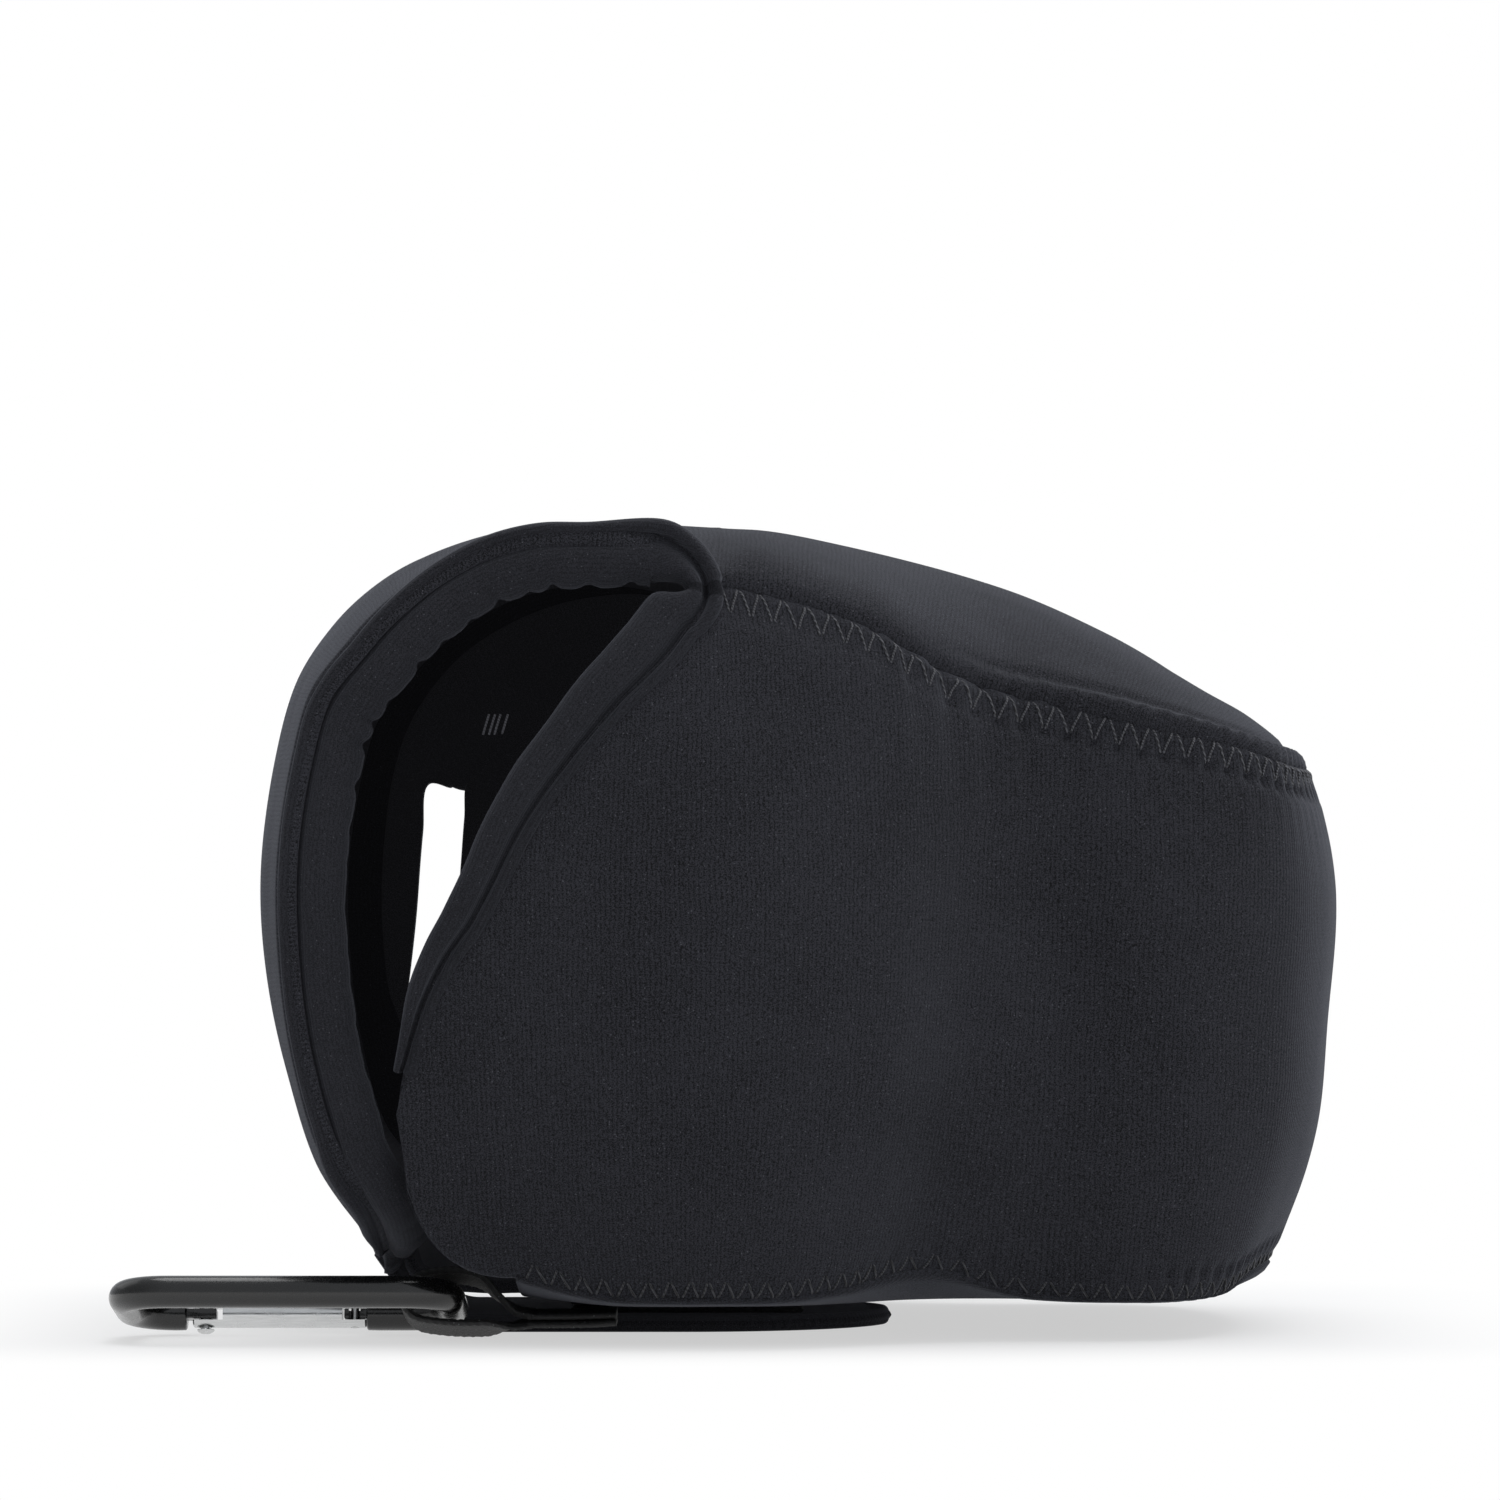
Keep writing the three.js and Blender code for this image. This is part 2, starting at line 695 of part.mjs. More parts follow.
// The rod's middle line from the gate's pivot round the hook to the nose, as points with directions.
function hookLine() {
  const line = [];
  const at = (x, y) => new THREE.Vector3(x, y, 0);
  const corner = (centreX, centreY, firstAngle) => {
    for (let i = 0; i <= hookCornerSteps; i += 1) {
      const angle = firstAngle + ((i / hookCornerSteps) * Math.PI) / 2;
      const [cos, sin] = [Math.cos(angle), Math.sin(angle)];
      line.push([at(centreX + hookCorner * cos, centreY + hookCorner * sin), at(-sin, cos)]);
    }
  };
  const cornerX = barX - hookCorner;
  const cornerY = railY - hookCorner;
  line.push([at(stubX, railY), at(-1, 0)]);
  corner(-cornerX, cornerY, Math.PI / 2);
  corner(-cornerX, -cornerY, Math.PI);
  corner(cornerX, -cornerY, 1.5 * Math.PI);
  corner(cornerX, cornerY, 0);
  line.push([at(noseX, railY), at(-1, 0)]);
  return line;
}

// A block on the gate's rail, from one X to another.
function railBlock(fromX, toX, depth, height, shiftY = 0) {
  const block = new THREE.BoxGeometry(toX - fromX, depth, height);
  return toSolid(block.translate((fromX + toX) / 2, railY + shiftY, 0));
}

// A round rod on the gate's rail: upright at one X, or lying along the rail from there.
function railPin(diameter, x, length = hookRod) {
  return rod(diameter, length, pinSides).rotateX(Math.PI / 2).translate(x, railY, 0);
}

function railRod(diameter, fromX, length, sides) {
  return rod(diameter, length, sides).rotateZ(Math.PI / 2).translate(fromX + length / 2, railY, 0);
}

const joinDepth = 1;
const slotHeight = tongueThickness + 2 * smallGap;
const tongueEndX = rivetX + tongueHeight / 2;
const bladeStartX = gateEndX - bladeReach;
const boreStartX = rivetX + Math.hypot(tongueHeight, tongueHeight) / 2 + smallGap;
const rivetHole = toSolid(railPin(rivetDiameter + 2 * smallGap, rivetX));

function hookBody() {
  const up = new THREE.Vector3(0, 0, 1);
  const rings = hookLine().map(([centre, along]) => {
    const across = new THREE.Vector3().crossVectors(along, up);
    return ringAt(centre, across, up, hookRod, hookRod, hookSides);
  });
  const tongue = railBlock(stubX - joinDepth, tongueEndX, tongueHeight, tongueThickness);
  const blade = railBlock(bladeStartX, noseX + joinDepth, bladeHeight, tongueThickness);
  const notchHalf = pinDiameter / 2 + smallGap;
  const notchShift = notchHalf - bladeHeight / 2;
  const notch = railBlock(pinX - notchHalf, pinX + notchHalf, bladeHeight, hookRod, notchShift);
  const solid = toSolid(loftSolid(rings)).add(tongue.subtract(rivetHole)).add(blade.subtract(notch));
  return fromSolid(solid);
}

// The gate: a tube with a slot at each end, one for the tongue and one for the nose's blade.
function hookGate() {
  const tube = toSolid(railRod(gateRod, gateStartX, gateLength, hookSides));
  const cuts = [
    railBlock(gateStartX - joinDepth, boreStartX, hookRod, slotHeight),
    railBlock(bladeStartX - smallGap, gateEndX + joinDepth, hookRod, slotHeight),
    rivetHole,
    toSolid(railPin(pinDiameter + 2 * pinClearance, pinX)),
    toSolid(railRod(gateBore, boreStartX - smallGap, springLength, pinSides)),
  ];
  return fromSolid(cuts.reduce((solid, cut) => solid.subtract(cut), tube));
}

function gateSpring() {
  return railRod(springWire, boreStartX + smallGap, springLength - 4 * smallGap, springSides);
}

function gateRivet() {
  const reach = gateRod / 2 + smallGap;
  const head = rivetHeadDiameter / 2;
  const top = reach + rivetHeadHeight;
  const crown = head - rivetHeadHeight / 2;
  const shank = rivetDiameter / 2;
  const half = [
    [shank, reach],
    [head, reach],
    [crown, top],
    [0, top],
  ];
  const profile = [...half.map(([x, y]) => [x, -y]).reverse(), ...half];
  const points = profile.map(([x, y]) => new THREE.Vector2(x, y));
  return new THREE.LatheGeometry(points, hookSides).rotateX(Math.PI / 2).translate(rivetX, railY, 0);
}

// A zigzag thread on the wall between two stations, between the heights low(k) and high(k).
function zigzagThread(first, last, low, high) {
  const probes = Array.from({ length: probeCount + 1 }, (unused, i) => {
    return THREE.MathUtils.lerp(first, last, i / probeCount);
  });
  const edge = probes.map((k) => wallPoint(k, high(k), 0));
  const lengths = [0];
  for (let i = 1; i <= probeCount; i += 1) {
    lengths.push(lengths[i - 1] + edge[i].distanceTo(edge[i - 1]));
  }
  const halfStitches = 2 * Math.round(lengths[probeCount] / stitchPitch);
  const stationAt = through(probes.map((k, i) => [lengths[i], k]));
  const up = new THREE.Vector3(0, 0, 1);
  const rings = [];
  for (let i = 0; i <= halfStitches; i += 1) {
    const k = stationAt((i / halfStitches) * lengths[probeCount]);
    const z = i % 2 === 0 ? low(k) : high(k);
    const centre = wallPoint(k, z, -threadLift);
    const outward = centre.clone().sub(wallPoint(k, z, 0)).normalize();
    rings.push(ringAt(centre, up, outward, threadWidth, threadHeight, 4));
  }
  return loftSolid(rings);
}

function topSeamThread() {
  const first = hingeStation + threadInset;
  const high = (k) => seamZ(k) - stitchEdge;
  const low = (k) => high(k) - topStitchHeight;
  return zigzagThread(first, 2 * frontStation - first, low, high);
}

function bottomSeamThread() {
  const first = cornerStation + threadInset;
  const low = (k) => lowEdge(k) + stitchEdge;
  const high = (k) => low(k) + bottomStitchHeight;
  return zigzagThread(first, 2 * frontStation - first, low, high);
}

function part(name, geometry, look) {
  const mesh = new THREE.Mesh(geometry, new THREE.MeshStandardMaterial(look));
  mesh.name = name;
  return mesh;
}

// A left-hand copy of a geometry, with its faces turned back the right way round.
function leftCopy(geometry) {
  const points = [];
  const position = geometry.getAttribute("position");
  for (let i = 0; i < position.count; i += 1) {
    points.push(new THREE.Vector3().fromBufferAttribute(position, i));
  }
  return solidFrom(mirrored(points), Array.from(geometry.index.array));
}

const cameraCase = new THREE.Group();
cameraCase.add(part("wrap_panel", wrapPanel(), softBlack));
cameraCase.add(part("top_panel", topPanel(), softBlack));
cameraCase.add(part("bottom_panel", bottomPanel(), softBlack));
cameraCase.add(part("top_seam_thread", topSeamThread(), threadGrey));
cameraCase.add(part("bottom_seam_thread", bottomSeamThread(), threadGrey));
cameraCase.add(part("side_strip_right", sideStrip(), stripBlack));
cameraCase.add(part("side_strip_left", leftCopy(sideStrip()), stripBlack));
cameraCase.add(part("rear_flap", rearFlap(), softBlack));
cameraCase.add(part("flap_strip_right", flapStrip(-1), stripBlack));
cameraCase.add(part("flap_strip_left", flapStrip(1), stripBlack));
cameraCase.add(part("closure_tab", closureTab(), softBlack));
cameraCase.add(part("hook_patch", fastenerPatch(tabThickness), patchBlack));
cameraCase.add(part("pile_patch", fastenerPatch(undersideZ - smallGap - patchThickness), patchBlack));
cameraCase.add(part("webbing_root", webbingRoot(), webbingBlack));
cameraCase.add(part("webbing_loop", webbingLoop(), webbingBlack));

const hook = new THREE.Group();
hook.position.set(hookEndX - hookLength / 2, webbingY, hookMiddleZ);
hook.rotation.x = -hookTilt;
hook.add(part("hook_body", hookBody(), blackMetal));
hook.add(part("hook_gate", hookGate(), silverMetal));
hook.add(part("gate_rivet", gateRivet(), silverMetal));
hook.add(part("gate_spring", gateSpring(), silverMetal));
hook.add(part("latch_pin", railPin(pinDiameter, pinX, gateRod), silverMetal));
cameraCase.add(hook);

export default cameraCase;
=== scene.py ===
# Camera case: the soft pieces, stitching, hook and materials, dressed on the frame.
# Lengths are in millimetres until a mesh is made. +X is the way the lens points and +Z is up.
import json
import math

import bpy
import numpy as np
from mathutils import Matrix, Vector

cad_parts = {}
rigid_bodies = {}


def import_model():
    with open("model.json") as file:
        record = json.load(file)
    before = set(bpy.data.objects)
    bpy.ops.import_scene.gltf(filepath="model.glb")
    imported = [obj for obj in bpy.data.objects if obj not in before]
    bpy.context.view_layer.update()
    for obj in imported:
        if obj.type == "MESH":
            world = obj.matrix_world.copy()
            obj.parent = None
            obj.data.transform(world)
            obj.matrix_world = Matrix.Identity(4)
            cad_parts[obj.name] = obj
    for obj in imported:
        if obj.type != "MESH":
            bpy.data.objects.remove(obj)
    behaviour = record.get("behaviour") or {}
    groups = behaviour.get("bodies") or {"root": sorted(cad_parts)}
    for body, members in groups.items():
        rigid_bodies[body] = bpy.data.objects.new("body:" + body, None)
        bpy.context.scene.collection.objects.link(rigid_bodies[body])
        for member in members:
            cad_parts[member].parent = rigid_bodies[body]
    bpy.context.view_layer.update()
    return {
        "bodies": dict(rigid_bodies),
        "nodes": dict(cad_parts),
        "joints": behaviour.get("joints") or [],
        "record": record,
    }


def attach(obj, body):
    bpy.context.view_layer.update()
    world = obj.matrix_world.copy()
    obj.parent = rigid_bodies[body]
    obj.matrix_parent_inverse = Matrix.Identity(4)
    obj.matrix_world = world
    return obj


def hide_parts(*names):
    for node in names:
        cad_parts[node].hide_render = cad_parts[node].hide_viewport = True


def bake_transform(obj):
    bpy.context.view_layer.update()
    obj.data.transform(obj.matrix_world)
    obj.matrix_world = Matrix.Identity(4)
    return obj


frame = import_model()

MM = 0.001
# The photo's side, focal length, eye level and middle column in pixels, and the camera's place
PHOTO, FOCAL, HORIZON_ROW, MIDDLE_COLUMN = 1500, 6643, 889, 760
EYE_Y, EYE_Z = -930, 60.5

# Sizes that repeat the part's source
WALL = 3.0
INNER_DEPTH = WALL - 0.2
SEAM_GAP = 0.3
SIDE_REAR_X, CORNER_X, HINGE_X = -48.2, -34.0, -5.5
CORNER_Z, REAR_EDGE_Z, CORNER_POWER = 9.4, 30.0, 2.6
HUMP_Z, UNDERSIDE_Z = 111.4, 4.3
BASE_SEAM_Z = 6.6
WAIST_LEAN, FRONT_LEAN, FRONT_LEAN_REACH = 6.0, 4.4, 3
TAB_HALF, TAB_THICKNESS, TAB_FLAT_X, TAB_FRONT_X, TAB_TAPER = 22.0, 2.2, -40.0, 18.0, 28.0
PATCH_START_X, PATCH_END_X, PATCH_HALF, PATCH_THICKNESS = -26.0, 6.0, 15.0, 0.8
HEM_HALF = 24.0
WEBBING_Y, WEBBING_WIDTH, WEBBING_THICKNESS = -38.0, 11.0, 0.9
HOOK_LENGTH, HOOK_WIDTH, HOOK_ROD, HOOK_CORNER = 47.6, 25.0, 4.3, 6.0
HOOK_END_X, HOOK_MIDDLE_Z, HOOK_TILT = -39.3, 4.95, math.radians(12)

# Shell stations: x, half width, top seam, base seam, lean at the top, lean at the base
RIGHT_STATIONS = [
    (-48.2, 60, 100.6, 6.6, 8, 7),
    (-34, 64.4, 100.6, 6.6, 8, 8),
    (-20, 68.1, 100.6, 6.6, 9, 8),
    (-5.5, 69, 100.6, 6.6, 9, 8),
    (7, 65.4, 98.2, 6.6, 8, 7),
    (18, 59.6, 94, 7.8, 6, 6),
    (28, 50.2, 87.8, 9.4, 3.5, 4),
    (38, 46.2, 85.2, 6, 3, 4),
    (50, 46.2, 82.6, 5.2, 3, 4.5),
    (61, 44.2, 80.6, 5.2, 3.5, 6),
    (70.5, 37.7, 78.4, 5.8, 4.5, 7.5),
    (76, 27.5, 77.5, 8, 5.5, 7.5),
    (78.6, 14, 77.5, 8.8, 5.5, 6.5),
    (79.2, 0, 78.1, 8.8, 5.5, 6.5),
]
LEFT_STATIONS = [(s[0], -s[1], *s[2:]) for s in RIGHT_STATIONS[-2::-1]]
STATIONS = RIGHT_STATIONS + LEFT_STATIONS
FRONT_K = len(RIGHT_STATIONS) - 1
LAST_K = len(STATIONS) - 1
HINGE_K, CORNER_K, FRONT_CORNER_K = 3, 1, 10
SIDE_STEPS = [6, 4, 3, 2, 2, 3, 3, 3, 2, 2, 2, 2, 2]


def smooth(t):
    t = np.clip(t, 0, 1)
    return t * t * (3 - 2 * t)


def unit(v):
    return v / np.maximum(np.linalg.norm(v, axis=-1, keepdims=True), 1e-9)


def run_along(points):
    """The distance along a line of points, at each of them."""
    return np.concatenate([[0], np.cumsum(np.linalg.norm(np.diff(points, axis=0), axis=1))])


def read_at(places, known, columns):
    """Columns of values known at some places, read at other places."""
    return np.stack([np.interp(places, known, columns[:, j]) for j in range(columns.shape[1])], -1)


def through(points):
    """A smooth height line through (x, height) points."""
    xs, ys = np.array(points, float).T
    i = np.arange(len(xs))
    before, after = np.maximum(i - 1, 0), np.minimum(i + 1, len(xs) - 1)
    slopes = (ys[after] - ys[before]) / (xs[after] - xs[before])

    def at(x):
        x = np.asarray(x, float)
        i = np.clip(np.searchsorted(xs, x, side="left") - 1, 0, len(xs) - 2)
        span = xs[i + 1] - xs[i]
        t = np.clip((x - xs[i]) / span, 0, 1)
        ease = smooth(t)
        bend = t * (1 - t) ** 2 * span * slopes[i] + t * t * (t - 1) * span * slopes[i + 1]
        return ys[i] * (1 - ease) + ys[i + 1] * ease + bend

    return at


def catmull(points):
    """A centripetal Catmull-Rom curve through the points, read at t from 0 to 1."""
    p = np.array(points, float)
    p = np.vstack([2 * p[0] - p[1], p, 2 * p[-1] - p[-2]])
    count = len(p) - 3

    def at(t):
        place = np.clip(np.asarray(t, float), 0, 1) * count
        i = np.minimum(place.astype(int), count - 1)
        w = (place - i)[..., None]
        a, b, c, d = p[i], p[i + 1], p[i + 2], p[i + 3]
        d0, d1, d2 = (
            np.maximum(np.linalg.norm(v, axis=-1, keepdims=True), 1e-6) ** 0.5 for v in (b - a, c - b, d - c)
        )
        s1 = ((b - a) / d0 - (c - a) / (d0 + d1) + (c - b) / d1) * d1
        s2 = ((c - b) / d1 - (d - b) / (d1 + d2) + (d - c) / d2) * d1
        return b + s1 * w + (-3 * b + 3 * c - 2 * s1 - s2) * w**2 + (2 * b - 2 * c + s1 + s2) * w**3

    return at


def even(points, step):
    """The same line as evenly spaced points, and their distances along it."""
    fine = catmull(points)(np.linspace(0, 1, 60 * len(points)))
    run = run_along(fine)
    at = np.linspace(0, run[-1], max(int(round(run[-1] / step)), 2) + 1)
    return read_at(at, run, fine), at


MIRROR = np.array([1, -1, 1])
plan = catmull([(s[0], -s[1]) for s in STATIONS])
seam_z, base_z, in_top, in_base = (
    through([(i, s[column]) for i, s in enumerate(STATIONS)]) for column in (2, 3, 4, 5)
)
front_swell = through([
    (5, 0.2), (17, 0.3), (28, 0.3), (43, -0.5), (60, 0.8), (67, 0.9), (74, 0.7), (80, 0.3),
])


def wall_point(k, z, depth):
    """A point on the shell's wall at station k and height z, some depth in from the outer face."""
    k, z, depth = np.broadcast_arrays(*(np.asarray(v, float) for v in (k, z, depth)))
    here = plan(k / LAST_K)
    along = unit(plan(k / LAST_K + 1e-4) - plan(k / LAST_K - 1e-4))
    outward = np.stack([along[..., 1], -along[..., 0]], -1)
    h = (z - base_z(k)) / (seam_z(k) - base_z(k)) - 0.5
    inset = 4 * h * h * np.where(h > 0, in_top(k), in_base(k))
    side = np.minimum(k, 2 * FRONT_K - k)
    waist = WAIST_LEAN * np.exp(-(((side - 6) / 2) ** 2))
    at_front = 1 - smooth((FRONT_K - side) / FRONT_LEAN_REACH - 1)
    lean = (waist + FRONT_LEAN * at_front) * h + at_front * front_swell(z)
    here = here - outward * (inset + depth)[..., None]
    return np.stack([here[..., 0] + lean, here[..., 1], z], -1)


def plan_x(side):
    return plan(np.asarray(side, float) / LAST_K)[..., 0]


diagonal_z = through([
    (-48.2, 31.6), (-46.8, 38), (-43.9, 46), (-42.4, 49.5), (-36.9, 57.5), (-30, 71), (-21, 83),
    (-11.6, 92.6), (-5.5, 100.6),
])


def low_edge(k):
    side = np.minimum(k, 2 * FRONT_K - np.asarray(k, float))
    rise = (CORNER_Z - BASE_SEAM_Z) * np.maximum(0, 1 - (side - CORNER_K) / 1.2) ** 2
    reach = np.clip((CORNER_X - plan_x(side)) / (CORNER_X - SIDE_REAR_X), 0, 1)
    bend = 1 - (1 - reach**CORNER_POWER) ** (1 / CORNER_POWER)
    return np.where(side >= CORNER_K, base_z(k) + rise, CORNER_Z + (REAR_EDGE_Z - CORNER_Z) * bend)


def high_edge(k):
    side = np.minimum(k, 2 * FRONT_K - np.asarray(k, float))
    return np.where(side >= HINGE_K, seam_z(k), diagonal_z(plan_x(side)))


def columns_from(first, last):
    right = [k + i / n for k, n in enumerate(SIDE_STEPS) for i in range(n)]
    every = np.array(right + [FRONT_K] + [2 * FRONT_K - k for k in right[::-1]])
    return every[(every >= first - 1e-6) & (every <= last + 1e-6)]


# Meshes


def points_of(mesh):
    """The mesh's points, in metres."""
    co = np.empty(len(mesh.vertices) * 3)
    mesh.vertices.foreach_get("co", co)
    return co.reshape(-1, 3)


def volume_of(mesh):
    """Signed volume: positive where the faces of a closed mesh point outwards."""
    mesh.calc_loop_triangles()
    corners = np.empty(len(mesh.loop_triangles) * 3, int)
    mesh.loop_triangles.foreach_get("vertices", corners)
    a, b, c = np.moveaxis(points_of(mesh)[corners.reshape(-1, 3)], 1, 0)
    return float(np.sum(a * np.cross(b, c)))


def link(name, verts, faces, material, uv=None):
    """A smooth mesh object from points in millimetres, with a uv in millimetres for each face corner."""
    mesh = bpy.data.meshes.new(name)
    mesh.from_pydata((np.asarray(verts) * MM).tolist(), [], [tuple(int(i) for i in f) for f in faces])
    mesh.polygons.foreach_set("use_smooth", [True] * len(mesh.polygons))
    if uv is not None:
        layer = mesh.uv_layers.new(name="fabric")
        loops = np.empty(len(mesh.loops), int)
        mesh.loops.foreach_get("vertex_index", loops)
        layer.data.foreach_set("uv", np.asarray(uv, float)[loops].ravel())
    mesh.update()
    if volume_of(mesh) < 0:
        mesh.flip_normals()
    mesh.materials.append(material)
    thing = bpy.data.objects.new(name, mesh)
    bpy.context.scene.collection.objects.link(thing)
    return thing


def quads(rows, columns, wrap=False, flip=False, offset=0):
    """The faces of a grid of points; with wrap, its last column joins its first."""
    i, j = np.meshgrid(np.arange(rows - 1), np.arange(columns if wrap else columns - 1), indexing="ij")
    n = (j + 1) % columns
    found = np.stack([i * columns + j, (i + 1) * columns + j, (i + 1) * columns + n, i * columns + n], -1)
    found = found.reshape(-1, 4) + offset
    return found[:, ::-1] if flip else found


def sheet_mesh(name, outer, inner, material, uv, edge_bulge=0.35):
    """A closed sheet between two grids of points, with rounded edges all round."""
    rows, columns = outer.shape[:2]
    count = rows * columns
    top = np.arange(columns)
    right = np.arange(1, rows) * columns + columns - 1
    bottom = (rows - 1) * columns + np.arange(columns - 2, -1, -1)
    left = np.arange(rows - 2, 0, -1) * columns
    border = np.concatenate([top, right, bottom, left])
    flat_outer, flat_inner = outer.reshape(-1, 3), inner.reshape(-1, 3)
    a, b = flat_outer[border], flat_inner[border]
    along = unit(np.roll(a, -1, 0) - np.roll(a, 1, 0))
    away = unit(np.cross(along, a - b))
    rim = []
    for t in (0.15, 0.5, 0.85):
        rim.append(a + (b - a) * t + away * edge_bulge * math.sin(math.pi * t))
    verts = np.vstack([flat_outer, flat_inner, *rim])
    faces = [quads(rows, columns), quads(rows, columns, flip=True, offset=count)]
    between = [2 * count + r * len(border) + np.arange(len(border)) for r in range(3)]
    rings = [border, *between, border + count]
    for near, far in zip(rings, rings[1:]):
        faces.append(np.stack([near, np.roll(near, -1), np.roll(far, -1), far], -1))
    flat_uv = uv.reshape(-1, 2)
    uvs = np.vstack([flat_uv, flat_uv] + [flat_uv[border]] * 3)
    thing = link(name, verts, np.vstack(faces), material, uvs)
    # inner faces get the lining attribute, which the jersey uses to paint them lighter and make them glow:
    # painted light
    inside = np.zeros(len(verts))
    inside[count:2 * count] = 1
    thing.data.attributes.new("lining", "FLOAT", "POINT").data.foreach_set("value", inside)
    return thing


def tube_mesh(name, rings, material, uv=None):
    """A closed tube through rows of ring points, with a point in the middle of each end."""
    rings = np.asarray(rings)
    count, sides = rings.shape[:2]
    verts = np.vstack([rings.reshape(-1, 3), rings[0].mean(0), rings[-1].mean(0)])
    faces = list(quads(count, sides, wrap=True))
    for j in range(sides):
        n = (j + 1) % sides
        faces.append((count * sides, j, n))
        faces.append((count * sides + 1, (count - 1) * sides + n, (count - 1) * sides + j))
    if uv is not None:
        uv = np.vstack([uv.reshape(-1, 2), uv[0].mean(0), uv[-1].mean(0)])
    return link(name, verts, faces, material, uv)


def turn_angles(count):
    """Angles spread evenly round a full turn."""
    return np.linspace(0, 2 * math.pi, count, endpoint=False)


def strand(path, up, radius, sides=8):
    """Ring points of a round thread or rod along a path; up steers where each ring starts."""
    across = unit(np.cross(unit(np.gradient(path, axis=0)), up))[:, None]
    lift = np.cross(across[:, 0], unit(np.gradient(path, axis=0)))[:, None]
    cos, sin = (way(turn_angles(sides))[None, :, None] * radius for way in (np.cos, np.sin))
    return path[:, None] + across * cos + lift * sin


def join(things, name):
    """One object from several meshes of one look."""
    verts, faces, start = [], [], 0
    for thing in things:
        mesh = thing.data
        verts.append(points_of(mesh) / MM)
        faces += [tuple(i + start for i in polygon.vertices) for polygon in mesh.polygons]
        start += len(mesh.vertices)
    material = things[0].data.materials[0]
    for thing in things:
        bpy.data.objects.remove(thing)
    return link(name, np.vstack(verts), faces, material)


def wrinkle(a, b, seed, waves=9, low=0.03, high=0.12):
    """Slow, seeded unevenness between about -1 and 1 over two surface coordinates in millimetres."""
    draw = np.random.default_rng(seed)
    total = np.zeros(np.broadcast(a, b).shape)
    for _ in range(waves):
        pitch, turn, phase = draw.uniform(low, high), draw.uniform(0, math.pi), draw.uniform(0, 2 * math.pi)
        total += np.sin(2 * math.pi * pitch * (a * math.cos(turn) + b * math.sin(turn)) + phase)
    return total / math.sqrt(waves * 2)


# Materials, each made of nodes


class Nodes:
    """The nodes of a new material, or of a world, with short ways to add to them."""

    def __init__(self, name, world=None):
        self.owner = world or bpy.data.materials.new(name)
        self.owner.use_nodes = True
        self.tree = self.owner.node_tree
        self.tree.nodes.clear()
        self.out = self.tree.nodes.new("ShaderNodeOutput" + ("World" if world else "Material"))

    def add(self, kind, inputs=None, **settings):
        node = self.tree.nodes.new("ShaderNode" + kind)
        for key, value in settings.items():
            setattr(node, key, value)
        for key, value in (inputs or {}).items():
            self.feed(node.inputs[key], value)
        return node

    def feed(self, socket, value):
        if isinstance(value, bpy.types.NodeSocket):
            self.tree.links.new(value, socket)
        elif isinstance(value, bpy.types.Node):
            self.tree.links.new(value.outputs[0], socket)
        else:
            socket.default_value = value

    def math(self, operation, a, b=0.0, c=0.0):
        return self.add("Math", {0: a, 1: b, 2: c}, operation=operation).outputs[0]

    def vector(self, operation, a, b=None):
        inputs = {0: a} if b is None else {0: a, 1: b}
        return self.add("VectorMath", inputs, operation=operation).outputs[0]

    def total(self, *parts):
        """The sum of values, each times its share."""
        scaled = [self.math("MULTIPLY", value, share) for value, share in parts]
        whole = scaled[0]
        for part in scaled[1:]:
            whole = self.math("ADD", whole, part)
        return whole

    def mix(self, share, a, b):
        return self.add("Mix", {0: share, 6: a, 7: b}, data_type="RGBA").outputs[2]

    def ramp(self, value, low, high, to_low=0.0, to_high=1.0):
        inputs = {0: value, 1: low, 2: high, 3: to_low, 4: to_high}
        return self.add("MapRange", inputs, interpolation_type="SMOOTHSTEP").outputs[0]

    def place(self):
        """Object coordinates in millimetres."""
        at = self.add("TexCoord").outputs["Object"]
        return self.add("VectorMath", {0: at, 3: 1 / MM}, operation="SCALE").outputs[0]

    def fabric(self):
        """The two fabric coordinates in millimetres."""
        return self.add("SeparateXYZ", {0: self.add("UVMap", uv_map="fabric")}).outputs[:2]

    def noise(self, where, scale, detail=2.0, rough=0.5):
        inputs = {"Vector": where, "Scale": scale, "Detail": detail, "Roughness": rough}
        return self.add("TexNoise", inputs).outputs[0]

    def specks(self, where, scale, reach, above):
        """1 on small dots in the cells whose own random value is above a limit."""
        cell = self.add("TexVoronoi", {"Vector": where, "Scale": scale, "Randomness": 1.0})
        own = self.add("SeparateColor", {0: cell.outputs["Color"]}).outputs[0]
        dot = self.math("LESS_THAN", cell.outputs["Distance"], reach)
        return self.math("MULTIPLY", dot, self.math("GREATER_THAN", own, above))

    def finish(self, look, bump, strength, distance):
        """A principled surface with the given inputs, and a bump of some distance in millimetres."""
        shader = self.add("BsdfPrincipled", look)
        bumped = self.add("Bump", {"Height": bump, "Strength": strength, "Distance": distance * MM})
        self.feed(shader.inputs["Normal"], bumped)
        self.feed(self.out.inputs["Surface"], shader)
        return self.owner


def grey(value, cool=1.15):
    return (value, value * 1.01, value * cool, 1.0)


